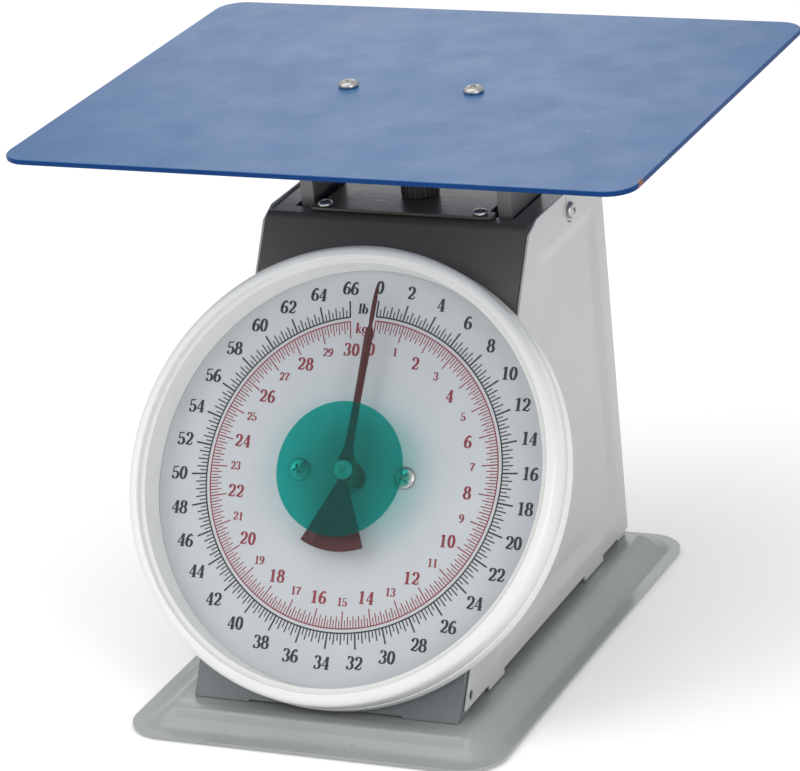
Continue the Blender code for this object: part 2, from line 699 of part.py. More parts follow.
# ---- pointer and its shaft ----------------------------------------------------------------------
def pointer_outline():
    """Tip, neck, shoulder, blade, hub and the fan of the counterweight, clockwise from the tip."""
    right = [(0.9, 78), (0.7, 68), (1.7, 66), (1.9, 62), (1.4, 8)]
    outline = [(0.0, 85.0)] + right
    hub = 4.7
    for step in range(5):
        angle = math.radians(70 - 30 * step)
        outline.append((hub * math.cos(angle), hub * math.sin(angle)))
    fan = 37.2
    for step in range(9):
        angle = math.radians(-90 + 24.5 * (1 - step / 4))
        outline.append((fan * math.cos(angle), fan * math.sin(angle)))
    for step in range(5):
        angle = math.radians(230 - 30 * step)
        outline.append((hub * math.cos(angle), hub * math.sin(angle)))
    outline += [(-x, y) for x, y in reversed(right)]
    return [(x * MM, y * MM) for x, y in outline]


def make_pointer(materials):
    pivot = add_pivot("pointer_pivot", on_dial())
    blade_back = 8.4 * MM
    blade_front = 9.4 * MM
    here = on_dial()
    pointer = prism("pointer", pointer_outline(), blade_back, blade_front, materials["red_enamel"], here, pivot)
    cut(pointer, cylinder("pointer_bore", 2.4 * MM, 5 * MM, 12 * MM, matrix=here))
    zinc = materials["zinc_steel"]
    hub_profile = [(1.8 * MM, 6.5 * MM), (4.6 * MM, 6.5 * MM), (4.6 * MM, blade_back - GAP)]
    hub_profile += [(1.8 * MM, blade_back - GAP)]
    turned("pointer_hub", hub_profile, 20, materials["brass"], here, pivot)
    nut_profile = [(1.8 * MM, blade_front + GAP), (4.4 * MM, blade_front + GAP), (4.4 * MM, 10.8 * MM)]
    nut_profile += [(3.3 * MM, 11.2 * MM), (3.3 * MM, 12.4 * MM), (1.8 * MM, 12.4 * MM)]
    turned("pointer_nut", nut_profile, 20, zinc, here, pivot)
    cylinder("pointer_shaft", 1.5 * MM, -38 * MM, 12.8 * MM, zinc, here, pivot)
    half_face = RACK_FACE / 2
    start, end = RACK_MIDDLE - half_face, RACK_MIDDLE + half_face
    pinion = prism("pinion", gear_outline(), start, end, materials["brass"], here, pivot)
    cut(pinion, cylinder("pinion_bore", 1.8 * MM, -30 * MM, -15 * MM, matrix=here))
    return pivot


def gear_outline():
    """Straight-flanked teeth. A space, not a tooth, faces the rack's middle tooth at +X."""
    root = PITCH_RADIUS - 1.25 * TOOTH_MODULE
    tip = PITCH_RADIUS + 0.85 * TOOTH_MODULE
    pitch = 2 * math.pi / PINION_TEETH
    outline = []
    for tooth in range(PINION_TEETH):
        middle = (tooth + 0.5) * pitch
        for radius, share in ((root, -0.34), (tip, -0.1), (tip, 0.1), (root, 0.34)):
            angle = middle + share * pitch
            outline.append((radius * math.cos(angle), radius * math.sin(angle)))
    return outline


def make_rack(materials):
    """The rack slides along the dial, to the right of the pinion. Local y is up the dial."""
    pivot = add_pivot("rack_slide", on_dial(PITCH_RADIUS))
    pitch = math.pi * TOOTH_MODULE
    back = 5 * MM
    tip = -0.8 * TOOTH_MODULE
    root = 1.25 * TOOTH_MODULE
    low_tooth = -3
    high_tooth = int(RACK_TRAVEL / pitch) + 4
    outline = [(back, -DRIVE_PIN_BELOW - 5 * MM), (back, (high_tooth + 1) * pitch)]
    outline += [(root, (high_tooth + 1) * pitch)]
    for tooth in range(high_tooth, low_tooth - 1, -1):
        middle = tooth * pitch
        for x, share in ((root, 0.33), (tip, 0.1), (tip, -0.1), (root, -0.33)):
            outline.append((x, middle + share * pitch))
    outline += [(root, -DRIVE_PIN_BELOW - 5 * MM)]
    outline.reverse()
    half_face = RACK_FACE / 2
    start, end = RACK_MIDDLE - half_face, RACK_MIDDLE + half_face
    place = on_dial(PITCH_RADIUS)
    rack = prism("rack", outline, start, end, materials["brass"], place, pivot)
    tail_low = (2 * MM, -DRIVE_PIN_BELOW - 4.5 * MM, RACK_MIDDLE - 21 * MM)
    tail_high = (back - 0.5 * MM, -DRIVE_PIN_BELOW + 4.5 * MM, RACK_MIDDLE)
    join(rack, box("rack_tail", tail_low, tail_high, matrix=place))
    slide = CARRIER_TRAVEL * math.sin(LEAN)
    half = DRIVE_PIN_RADIUS + GAP
    slot_low = (-1 * MM, -DRIVE_PIN_BELOW - half, RACK_MIDDLE - slide - half - 1 * MM)
    slot_high = (8 * MM, -DRIVE_PIN_BELOW + half, RACK_MIDDLE + half)
    cut(rack, box("rack_slot", slot_low, slot_high, matrix=place))
    return pivot


def make_movement(materials):
    """The bracket behind the front panel that carries the pointer's shaft and guides the rack."""
    steel = materials["zinc_steel"]
    brass = materials["brass"]
    low = (-MOVEMENT_X, MOVEMENT_LOW, MOVEMENT_BACK)
    high = (MOVEMENT_X, MOVEMENT_HIGH, MOVEMENT_FRONT)
    bracket = box("movement_bracket", low, high, steel, on_dial())
    wall = 2 * MM
    hollow_low = (-MOVEMENT_X + wall, MOVEMENT_LOW - 5 * MM, MOVEMENT_BACK - 5 * MM)
    hollow_high = (MOVEMENT_X - wall, MOVEMENT_HIGH + 5 * MM, MOVEMENT_FRONT - wall)
    cut(bracket, box("bracket_hollow", hollow_low, hollow_high, matrix=on_dial()))
    rear_low = (-MOVEMENT_X, MOVEMENT_LOW, MOVEMENT_BACK - GAP - wall)
    rear_high = (MOVEMENT_X, MOVEMENT_HIGH, MOVEMENT_BACK - GAP)
    rear = box("movement_rear_plate", rear_low, rear_high, steel, on_dial())
    seat_radius = 3.5 * MM
    for piece in (bracket, rear):
        cut(piece, cylinder("bearing_seat", seat_radius + GAP, -45 * MM, -5 * MM, matrix=on_dial()))
    for side in (-1, 1):
        place = on_dial(side * DIAL_SCREW_X)
        cut(bracket, cylinder("bracket_hole", 2.3 * MM, -16 * MM, -5 * MM, matrix=place))
    bore = 1.8 * MM
    front_profile = [(bore, -12 * MM), (seat_radius, -12 * MM), (seat_radius, -8.4 * MM)]
    front_profile += [(5.4 * MM, -8.4 * MM), (5.4 * MM, 1.2 * MM), (bore, 1.2 * MM)]
    turned("front_bushing", front_profile, 20, brass, on_dial())
    rear_profile = [(bore, MOVEMENT_BACK - 3.4 * MM), (seat_radius, MOVEMENT_BACK - 3.4 * MM)]
    rear_profile += [(seat_radius, MOVEMENT_BACK + GAP), (5 * MM, MOVEMENT_BACK + GAP)]
    rear_profile += [(5 * MM, MOVEMENT_BACK + 1.5 * MM), (bore, MOVEMENT_BACK + 1.5 * MM)]
    turned("rear_bushing", rear_profile, 20, brass, on_dial())
    make_rack_guide(steel)


def make_rack_guide(steel):
    """A channel behind the rack that keeps it in mesh. Its outline is across the dial and out of it."""
    rack_back = PITCH_RADIUS + 5 * MM
    near = RACK_MIDDLE + RACK_FACE / 2 + GAP
    far = RACK_MIDDLE - RACK_FACE / 2 - GAP
    lip_x = rack_back - 2 * MM
    channel = rack_back + GAP
    outline = [
        (lip_x, near),
        (channel, near),
        (channel, far),
        (lip_x, far),
        (lip_x, far - 1.5 * MM),
        (channel + 2.5 * MM, far - 1.5 * MM),
        (channel + 2.5 * MM, near + 1.5 * MM),
        (lip_x, near + 1.5 * MM),
    ]
    up = Matrix.Rotation(math.pi / 2, 4, "X")
    start, end = -MOVEMENT_HIGH, -MOVEMENT_LOW
    prism("rack_guide", outline, start, end, steel, on_dial() @ up)


# ---- inner frame, links, springs and zero adjuster ----------------------------------------------
def make_frame(steel):
    bottom = BASE_TOP + GAP
    foot = 12 * MM
    for side, word in ((-1, "left"), (1, "right")):
        inner = side * (UPRIGHT_X - UPRIGHT_THICK / 2)
        outer = side * (UPRIGHT_X + UPRIGHT_THICK / 2)
        toe = side * (UPRIGHT_X - foot)
        outline = [(outer, bottom), (outer, BEAM_TOP - BEAM_THICK - GAP), (inner, BEAM_TOP - BEAM_THICK - GAP)]
        outline += [(inner, bottom + UPRIGHT_THICK), (toe, bottom + UPRIGHT_THICK), (toe, bottom)]
        facing = Matrix.Rotation(math.pi / 2, 4, "X")
        upright = prism("frame_upright_" + word, outline, -UPRIGHT_BACK, -UPRIGHT_FRONT, steel, facing)
        for height in (UPPER_PIN_Z, LOWER_PIN_Z):
            matrix = along_x(LINK_PIVOT_Y, height - CARRIER_TRAVEL / 2)
            cut(upright, cylinder("upright_bore", PIN_RADIUS + GAP, -70 * MM, 70 * MM, matrix=matrix))
    wide = UPRIGHT_X + UPRIGHT_THICK / 2
    narrow = 30 * MM
    front = LOAD_Y - 16 * MM
    step = LOAD_Y + 27 * MM
    outline = [(-narrow, front), (narrow, front), (narrow, step), (wide, step), (wide, UPRIGHT_BACK)]
    outline += [(-wide, UPRIGHT_BACK), (-wide, step), (-narrow, step)]
    beam = prism("top_beam", outline, BEAM_TOP - BEAM_THICK, BEAM_TOP, steel)
    for side in (-1, 1):
        rib_low = (min(side * narrow, side * (narrow - 3 * MM)), front, BEAM_TOP - 12 * MM)
        rib_high = (max(side * narrow, side * (narrow - 3 * MM)), UPRIGHT_BACK - 4 * MM, BEAM_TOP - 1 * MM)
        join(beam, box("beam_rib", rib_low, rib_high))
    middle = Matrix.Translation((0, LOAD_Y, 0))
    cut(beam, cylinder("beam_bore", ZERO_SCREW_RADIUS + 0.6 * MM, 180 * MM, 200 * MM, matrix=middle))


def make_link(name, pin_z, steel):
    """One of the two parallel links that keep the plate level: arms outside the legs, joined by a web."""
    rise = CARRIER_TRAVEL / 2
    reach = LINK_PIVOT_Y - LINK_PIN_Y
    length = math.hypot(reach, rise)
    pivot_place = Matrix.Translation((0, LINK_PIVOT_Y, pin_z - rise))
    tilt = Matrix.Rotation(-math.atan2(rise, reach), 4, "X")
    pivot = add_pivot(name + "_pivot", pivot_place)
    outer = LINK_ARM_X + LINK_ARM_THICK / 2
    inner = LINK_ARM_X - LINK_ARM_THICK / 2
    far = -(length + 6 * MM)
    near = 5 * MM
    web_front, web_back = -13 * MM, -11.5 * MM
    outline = [
        (-outer, far),
        (-inner, far),
        (-inner, web_front),
        (inner, web_front),
        (inner, far),
        (outer, far),
        (outer, near),
        (inner, near),
        (inner, web_back),
        (-inner, web_back),
        (-inner, near),
        (-outer, near),
    ]
    matrix = pivot_place @ tilt
    link = prism(name, outline, -5 * MM, 5 * MM, steel, matrix, pivot)
    turn = Matrix.Rotation(math.pi / 2, 4, "Y")
    cut(link, cylinder(name + "_bore", PIN_RADIUS + GAP, -70 * MM, 70 * MM, matrix=matrix @ turn))
    slack = length - reach
    middle = -length + slack / 2
    long = slack / 2 + PIN_RADIUS + 0.6 * MM
    slot = box(name + "_slot", (-70 * MM, middle - long, -3.1 * MM), (70 * MM, middle + long, 3.1 * MM), matrix=matrix)
    cut(link, slot)
    frame_rod = UPRIGHT_X + 3.5 * MM
    carrier_rod = LINK_ARM_X + 2 * MM
    word = name.split("_")[0]
    cylinder(word + "_pivot_rod", PIN_RADIUS, -frame_rod, frame_rod, steel, along_x(LINK_PIVOT_Y, pin_z - rise))
    carrier = bpy.data.objects["carrier_slide"]
    cylinder(
        word + "_carrier_rod", PIN_RADIUS, -carrier_rod, carrier_rod, steel, along_x(LINK_PIN_Y, pin_z), carrier
    )


def spring_points():
    """The wire's middle line from the anchor bar up to the yoke: hook, coils, hook."""
    low = ANCHOR_BOTTOM + ANCHOR_THICK + GAP
    high = YOKE_BOTTOM - GAP
    body = SPRING_COILS * SPRING_PITCH
    start = (low + high - body) / 2
    turns = 10
    points = [Vector((0, 0, low)), Vector((0, 0, start - 4 * MM))]
    points.append(Vector((SPRING_RADIUS * 0.6, 0, start - 2.2 * MM)))
    for step in range(SPRING_COILS * turns + 1):
        angle = 2 * math.pi * step / turns
        height = start + SPRING_PITCH * step / turns
        points.append(Vector((SPRING_RADIUS * math.cos(angle), SPRING_RADIUS * math.sin(angle), height)))
    points.append(Vector((SPRING_RADIUS * 0.6, 0, start + body + 2.2 * MM)))
    points += [Vector((0, 0, start + body + 4 * MM)), Vector((0, 0, high))]
    return points


def make_spring(name, x, steel):
    curve = bpy.data.curves.new(name, "CURVE")
    curve.dimensions = "3D"
    curve.bevel_depth = WIRE_RADIUS
    curve.bevel_resolution = 1
    curve.use_fill_caps = True
    points = spring_points()
    spline = curve.splines.new("POLY")
    spline.points.add(len(points) - 1)
    for point, place in zip(spline.points, points):
        point.co = (*place, 1)
    add_object(name, curve, steel, Matrix.Translation((x, LOAD_Y, 0)))


def make_springs_and_zero(materials):
    steel = materials["zinc_steel"]
    for side, word in ((-1, "left"), (1, "right")):
        make_spring("spring_" + word, side * SPRING_X, steel)
    carrier = bpy.data.objects["carrier_slide"]
    wall = LEG_OUTER_X - LEG_STEEL - GAP
    low = (-wall, LOAD_Y - 8 * MM, ANCHOR_BOTTOM)
    high = (wall, LOAD_Y + 8 * MM, ANCHOR_BOTTOM + ANCHOR_THICK)
    box("spring_anchor_bar", low, high, steel, parent=carrier)
    yoke_pivot = add_pivot("yoke_slide", Matrix.Translation((0, LOAD_Y, YOKE_BOTTOM)))
    outline = rounded(rectangle(27 * MM, LOAD_Y - 7 * MM, LOAD_Y + 7 * MM), [5 * MM] * 4, 4)
    top = YOKE_BOTTOM + YOKE_THICK
    yoke = prism("spring_yoke", outline, YOKE_BOTTOM, top, steel, parent=yoke_pivot)
    middle = Matrix.Translation((0, LOAD_Y, 0))
    radius = ZERO_SCREW_RADIUS
    cut(yoke, cylinder("yoke_bore", radius + GAP, 165 * MM, 185 * MM, matrix=middle))
    knob_bottom = HOUSING_TOP + 2 * MM + GAP
    screw_top = knob_bottom + 5 * MM
    screw_profile = [(0, screw_top), (radius, screw_top), (radius, YOKE_BOTTOM - GAP)]
    screw_profile += [(radius + 2.5 * MM, YOKE_BOTTOM - GAP), (radius + 2.5 * MM, YOKE_BOTTOM - 5 * MM)]
    screw_profile += [(0, YOKE_BOTTOM - 5 * MM)]
    turned("zero_screw", screw_profile, 16, steel, middle, yoke_pivot)
    make_knob(knob_bottom, radius, materials["black_plastic"])


def make_knob(bottom, bore, plastic):
    """A knurled knob under the plate. Turning it lifts the yoke that the springs hang from."""
    pivot = add_pivot("knob_pivot", Matrix.Translation((0, LOAD_Y, bottom)))
    ribs = 20
    outline = []
    for rib in range(ribs):
        for radius, share in ((KNOB_RADIUS, 0.0), (KNOB_RADIUS, 0.5), (KNOB_RADIUS - 0.6 * MM, 0.75)):
            angle = 2 * math.pi * (rib + share) / ribs
            outline.append((radius * math.cos(angle), radius * math.sin(angle)))
    place = Matrix.Translation((0, LOAD_Y, bottom))
    knob = prism("zero_knob", outline, 0, KNOB_HEIGHT, plastic, place, pivot)
    cut(knob, cylinder("knob_bore", bore + GAP, -5 * MM, 7 * MM, matrix=place))


def make_drive(materials):
    """The arm from the carrier's anchor bar to the rack, and the pin at its end."""
    steel = materials["zinc_steel"]
    carrier = bpy.data.objects["carrier_slide"]
    pin = DIAL_CENTRE - UP_DIAL * DRIVE_PIN_BELOW + OUT_OF_DIAL * RACK_MIDDLE
    bar_front = LOAD_Y - 8 * MM - GAP
    arm_left, arm_right = -2 * MM, PITCH_RADIUS + 0.3 * MM
    thick = 2.5 * MM
    rear_low = pin.z - 4 * MM
    outline = rounded(
        [
            (pin.y - 3.5 * MM, pin.z - 3.5 * MM),
            (pin.y - 3.5 * MM, pin.z + 3.5 * MM),
            (bar_front, pin.z + 3.5 * MM),
            (bar_front, rear_low),
        ],
        [3 * MM, 3 * MM, 0, 0],
        3,
    )
    matrix = PROFILE_AXES.copy()
    arm = prism("drive_arm", outline, arm_right - thick, arm_right, steel, matrix, carrier)
    foot_low = (arm_left - 8 * MM, bar_front - thick, rear_low)
    foot_high = (arm_right - 0.5 * MM, bar_front, pin.z + 3.5 * MM)
    join(arm, box("arm_foot", foot_low, foot_high))
    bore = cylinder("arm_bore", DRIVE_PIN_RADIUS + GAP, -20 * MM, 20 * MM, matrix=along_x(pin.y, pin.z), segments=12)
    cut(arm, bore)
    pin_start = arm_right - thick - 1 * MM
    pin_end = PITCH_RADIUS + 7 * MM
    cylinder("drive_pin", DRIVE_PIN_RADIUS, pin_start, pin_end, steel, along_x(pin.y, pin.z), carrier, 12)


def make_overload_stop(rubber):
    """A buffer on the base that the anchor bar meets at the end of its travel."""
    top = ANCHOR_BOTTOM - CARRIER_TRAVEL - 0.5 * MM
    profile = [(0, BASE_TOP + GAP), (12 * MM, BASE_TOP + GAP), (9 * MM, top), (0, top)]
    turned("overload_buffer", profile, 20, rubber, Matrix.Translation((0, LOAD_Y, 0)))


def main():
    clear_scene()
    materials = make_materials()
    grey = materials["grey_paint"]
    dark = materials["dark_paint"]
    zinc = materials["zinc_steel"]
    make_base(grey, materials["rubber"])
    make_cap(dark)
    make_front_panel(grey)
    make_back_panel(grey)
    make_side_panel("side_panel_left", -1, grey)
    make_side_panel("side_panel_right", 1, grey)
    make_side_screws(zinc)
    make_platform(materials["blue_paint"], dark, zinc)
    make_cover(dark, zinc)
    make_dial(materials)
    make_pointer(materials)
    make_rack(materials)
    make_movement(materials)
    make_frame(zinc)
    make_link("upper_link", UPPER_PIN_Z, zinc)
    make_link("lower_link", LOWER_PIN_Z, zinc)
    make_springs_and_zero(materials)
    make_drive(materials)
    make_overload_stop(materials["rubber"])


main()
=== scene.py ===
# %% [markdown]
# # A dial platform scale, dressed for its portrait
# The scale has a flat load plate on two legs, a wedge-shaped sheet-metal housing, a pressed base and a
# big round dial that leans back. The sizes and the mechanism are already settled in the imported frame.
# This script gives every visible piece its real surface: enamel, plating, plastic, print and glass.

import json
import math

import bmesh
import bpy
from mathutils import Matrix, Vector


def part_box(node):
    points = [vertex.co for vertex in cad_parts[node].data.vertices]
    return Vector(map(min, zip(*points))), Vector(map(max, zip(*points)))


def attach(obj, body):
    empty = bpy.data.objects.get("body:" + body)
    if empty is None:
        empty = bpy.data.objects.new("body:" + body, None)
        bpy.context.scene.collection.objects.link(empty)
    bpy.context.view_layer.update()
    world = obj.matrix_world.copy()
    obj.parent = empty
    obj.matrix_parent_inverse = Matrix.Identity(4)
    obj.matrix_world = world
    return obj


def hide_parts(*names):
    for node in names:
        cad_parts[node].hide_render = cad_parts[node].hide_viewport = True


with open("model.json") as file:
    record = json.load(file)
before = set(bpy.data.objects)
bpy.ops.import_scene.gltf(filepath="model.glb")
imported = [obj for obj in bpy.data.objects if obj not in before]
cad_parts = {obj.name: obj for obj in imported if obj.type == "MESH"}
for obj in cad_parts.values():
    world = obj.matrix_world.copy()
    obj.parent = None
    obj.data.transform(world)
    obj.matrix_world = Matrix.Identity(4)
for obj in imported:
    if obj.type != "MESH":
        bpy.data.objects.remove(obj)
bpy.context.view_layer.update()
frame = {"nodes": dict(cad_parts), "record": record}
MM = 0.001

# %% [markdown]
# ## Where things are
# The dial leans back by 33 degrees, and nearly everything on it is easiest to place in its own
# axes: across, up and out. A matrix for that lets each dial piece be modelled flat, as it would be
# turned on a lathe or cut from sheet, and then be put where it belongs.

# %% Shared places
LEAN = math.radians(33)
UP_DIAL = Vector((0, math.sin(LEAN), math.cos(LEAN)))
OUT_OF_DIAL = Vector((0, -math.cos(LEAN), math.sin(LEAN)))
TOP_BEND = Vector((0, 0, 201 * MM))
DIAL_CENTRE = TOP_BEND - UP_DIAL * 120.3 * MM + OUT_OF_DIAL * 7 * MM
RIM_DROP = 2.3 * MM  # the rim, lens and face disc sit this much below the pointer's axis


def on_dial(x=0.0, up=0.0, out=0.0):
    """Local x across the dial, y up it and z out of it, at that point of it."""
    place = DIAL_CENTRE + UP_DIAL * up + OUT_OF_DIAL * out + Vector((x, 0, 0))
    return Matrix.Translation(place) @ Matrix.Rotation(math.pi / 2 - LEAN, 4, "X")


def slope_point(below_top, inwards=0.0):
    """(y, z) of a point on the sloping front, this far below the top bend and this far inside it."""
    point = TOP_BEND - UP_DIAL * below_top - OUT_OF_DIAL * inwards
    return point.y, point.z


print("dial centre:", tuple(round(v, 4) for v in DIAL_CENTRE))

# %% [markdown]
# ## Camera
# The viewer stands in front and to the right, a little above, with a long lens, so the verticals lean
# only slightly. A camera is an object whose local -Z looks ahead, so its matrix is built from three
# directions: right, up and backwards. A small lens shift frames the scale without turning the camera.

# %% Place the camera
CAMERA_PLACE = Vector((781.3, -1648.3, 838.0)) * MM
YAW, PITCH, ROLL = math.radians(25.0), math.radians(-21.0), math.radians(-5.4)
FOCAL_LENGTH = 189.2  # mm, on a 36 mm sensor
SHIFT = (-0.0405, -0.051)


def camera_axes(yaw, pitch, roll):
    """Right, up and backwards for a camera that looks along yaw and pitch, tipped by roll."""
    ahead = Vector((-math.sin(yaw) * math.cos(pitch), math.cos(yaw) * math.cos(pitch), math.sin(pitch)))
    right = Vector((math.cos(yaw), math.sin(yaw), 0))
    above = right.cross(ahead)
    tipped_right = right * math.cos(roll) + above * math.sin(roll)
    tipped_up = above * math.cos(roll) - right * math.sin(roll)
    return tipped_right, tipped_up, -ahead


camera_data = bpy.data.cameras.new("portrait_camera")
camera_data.lens = FOCAL_LENGTH
camera_data.sensor_width = 36
camera_data.clip_end = 20
camera_data.shift_x, camera_data.shift_y = SHIFT
camera = bpy.data.objects.new("portrait_camera", camera_data)
bpy.context.scene.collection.objects.link(camera)
axes = camera_axes(YAW, PITCH, ROLL)
camera.matrix_world = Matrix.Translation(CAMERA_PLACE) @ Matrix(axes).transposed().to_4x4()
bpy.context.scene.camera = camera
print("camera at", tuple(round(v, 3) for v in CAMERA_PLACE), "lens", FOCAL_LENGTH)

# %% [markdown]
# ## Light and floor
# A product like this is lit by big soft sources: a bright pale surround, a large softbox overhead,
# one in front on each side that keep the dial and the side panel bright, a strip in front that puts a
# gentle sheen on the dial's rim, and a small one behind that the plate's enamel mirrors. Area lights
# give soft-edged shadows, and the bigger they are the softer. The floor is a plain pale sheet.


# %% Surround, softboxes and floor
def softbox(name, place, target, width, height, power, tint=(1, 1, 1)):
    data = bpy.data.lights.new(name, "AREA")
    data.shape = "RECTANGLE"
    data.size, data.size_y = width, height
    data.energy = power
    data.color = tint
    light = bpy.data.objects.new(name, data)
    bpy.context.scene.collection.objects.link(light)
    direction = Vector(target) - Vector(place)
    facing_target = direction.to_track_quat("-Z", "Y").to_matrix().to_4x4()
    light.matrix_world = Matrix.Translation(place) @ facing_target
    return light


world = bpy.data.worlds.new("pale_surround")
world.use_nodes = True
world.node_tree.nodes["Background"].inputs["Color"].default_value = (1, 1, 1, 1)
world.node_tree.nodes["Background"].inputs["Strength"].default_value = 0.7
bpy.context.scene.world = world
bpy.context.scene.view_settings.view_transform = "Standard"

MIDDLE = (0, 0, 0.12)
softbox("softbox_top", (-0.4, -0.2, 2.3), MIDDLE, 1.8, 1.8, 13)
softbox("softbox_left", (-1.3, -1.15, 1.35), MIDDLE, 1.2, 1.2, 8)
softbox("softbox_right", (1.65, -1.2, 0.85), MIDDLE, 0.9, 1.0, 12)
softbox("strip_front", (0.3, -2.0, 1.1), MIDDLE, 1.6, 0.4, 2)
softbox("softbox_back", (-1.02, 2.3, 1.05), (0, 0.1, 0.25), 0.7, 0.9, 2.5)


def flat_sheet(name, half_width):
    mesh = bpy.data.meshes.new(name)
    corners = [(-1, -1), (1, -1), (1, 1), (-1, 1)]
    mesh.from_pydata([(x * half_width, y * half_width, 0) for x, y in corners], [], [(0, 1, 2, 3)])
    sheet = bpy.data.objects.new(name, mesh)
    bpy.context.scene.collection.objects.link(sheet)
    return sheet


floor = flat_sheet("studio_floor", 6)
pale_floor = bpy.data.materials.new("pale_floor")
pale_floor.use_nodes = True
floor_shader = pale_floor.node_tree.nodes["Principled BSDF"]
floor_shader.inputs["Base Color"].default_value = (0.93, 0.93, 0.93, 1)
floor_shader.inputs["Roughness"].default_value = 0.9
floor_shader.inputs["Specular IOR Level"].default_value = 0.1
floor_shader.inputs["Emission Color"].default_value = (1, 1, 1, 1)
floor_shader.inputs["Emission Strength"].default_value = 0.13
floor.data.materials.append(pale_floor)

# %% [markdown]
# ## Finishes from nodes
# Each finish starts as a Principled shader with its even values set on the shader itself. Detail
# then comes from noise in object space, so it needs no unwrapping and keeps its real size: a wide
# noise for uneven tone, a fine one for the surface's own texture, and a third that breaks up the gloss.


# %% Node helpers
def start_finish(name, colour, roughness, metallic=0.0, coat=0.0):
    """A new material, with its tree's nodes and its shader."""
    material = bpy.data.materials.new(name)
    material.use_nodes = True
    shader = material.node_tree.nodes["Principled BSDF"]
    shader.inputs["Base Color"].default_value = (*colour, 1)
    shader.inputs["Roughness"].default_value = roughness
    shader.inputs["Metallic"].default_value = metallic
    shader.inputs["Coat Weight"].default_value = coat
    shader.inputs["Coat Roughness"].default_value = 0.12
    return material


def add_node(material, kind, **settings):
    node = material.node_tree.nodes.new(kind)
    for key, value in settings.items():
        if key in node.inputs:
            node.inputs[key].default_value = value
        else:
            setattr(node, key, value)
    return node


def wire(material, source, target):
    material.node_tree.links.new(source, target)


def noise(material, scale, detail=3.0, stretch=(1, 1, 1), roughness=0.55):
    """Noise in object space: scale is features per metre, and stretch draws it out along an axis."""
    where = add_node(material, "ShaderNodeTexCoord")
    size = add_node(material, "ShaderNodeMapping")
    size.inputs["Scale"].default_value = stretch
    field = add_node(material, "ShaderNodeTexNoise", Scale=scale, Detail=detail, Roughness=roughness)
    wire(material, where.outputs["Object"], size.inputs["Vector"])
    wire(material, size.outputs["Vector"], field.inputs["Vector"])
    return field.outputs["Fac"]


def ramp(material, value, low, high, dark, light):
    """dark below low and light above high, blended in between. Takes two numbers or two colours."""
    node = add_node(material, "ShaderNodeMapRange", clamp=True)
    if isinstance(dark, (int, float)):
        ends = {"From Min": low, "From Max": high, "To Min": dark, "To Max": light}
        for key, number in ends.items():
            node.inputs[key].default_value = number
        wire(material, value, node.inputs["Value"])
        return node.outputs["Result"]
    node.inputs["From Min"].default_value = low
    node.inputs["From Max"].default_value = high
    wire(material, value, node.inputs["Value"])
    blend = add_node(material, "ShaderNodeMix", data_type="RGBA")
    blend.inputs["A"].default_value = (0, 0, 0, 1)
    colours = [socket for socket in blend.inputs if socket.type == "RGBA"]
    colours[0].default_value = (*dark, 1)
    colours[1].default_value = (*light, 1)
    wire(material, node.outputs["Result"], blend.inputs[0])
    return [socket for socket in blend.outputs if socket.type == "RGBA"][0]


def shader_of(material):
    return material.node_tree.nodes["Principled BSDF"]


def overlay(material, share, colour):
    """Puts this colour over the base colour found so far, by the given share."""
    target = shader_of(material).inputs["Base Color"]
    blend = add_node(material, "ShaderNodeMix", data_type="RGBA")
    colours = [socket for socket in blend.inputs if socket.type == "RGBA"]
    if target.is_linked:
        wire(material, target.links[0].from_socket, colours[0])
    else:
        colours[0].default_value = target.default_value
    colours[1].default_value = (*colour, 1)
    wire(material, share, blend.inputs[0])
    wire(material, [socket for socket in blend.outputs if socket.type == "RGBA"][0], target)


def texture_bump(material, height, depth, strength=1.0):
    """Adds relief of this depth in metres on top of any bump the shader has."""
    shader = shader_of(material)
    bump = add_node(material, "ShaderNodeBump", Distance=depth, Strength=strength)
    if shader.inputs["Normal"].is_linked:
        wire(material, shader.inputs["Normal"].links[0].from_socket, bump.inputs["Normal"])
    wire(material, height, bump.inputs["Height"])
    wire(material, bump.outputs["Normal"], shader.inputs["Normal"])
    if shader.inputs["Coat Weight"].default_value > 0:
        wire(material, bump.outputs["Normal"], shader.inputs["Coat Normal"])


def uneven_gloss(material, scale, low, high):
    patches = ramp(material, noise(material, scale, 4), 0.35, 0.7, low, high)
    wire(material, patches, shader_of(material).inputs["Roughness"])


def multiply(material, first, second):
    node = add_node(material, "ShaderNodeMath", operation="MULTIPLY")
    wire(material, first, node.inputs[0])
    if isinstance(second, (int, float)):
        node.inputs[1].default_value = second
    else:
        wire(material, second, node.inputs[1])
    return node.outputs[0]


print("node helpers ready")

# %% [markdown]
# ## Enamels
# Sprayed and baked enamel is never quite smooth: it dries with a faint orange-peel texture, and years
# of wiping leave the gloss patchy and put in small specks and hairline scratches. One function makes
# all the enamels, and only colours and amounts differ. Specks come from the top end of a fine noise.


# %% Enamel finishes
def enamel(name, colour, tone, roughness, peel_depth, speck_colour, speck_share=0.035, coat=0.3):
    material = start_finish(name, colour, roughness, coat=coat)
    shader = shader_of(material)
    wide = noise(material, 14, 4)
    wire(material, ramp(material, wide, 0.3, 0.7, tone, colour), shader.inputs["Base Color"])
    scratches = noise(material, 40, 1, stretch=(1, 40, 40), roughness=0.5)
    scratch_colour = tuple(min(1, c * 1.5 + 0.04) for c in colour)
    overlay(material, ramp(material, scratches, 0.72, 0.8, 0.0, 0.16), scratch_colour)
    specks = noise(material, 420, 2, roughness=0.4)
    overlay(material, ramp(material, specks, 0.77 - speck_share, 0.79, 0.0, 0.7), speck_colour)
    uneven_gloss(material, 45, roughness * 0.93, min(1.0, roughness * 1.1))
    texture_bump(material, noise(material, 330, 2), peel_depth)
    return material


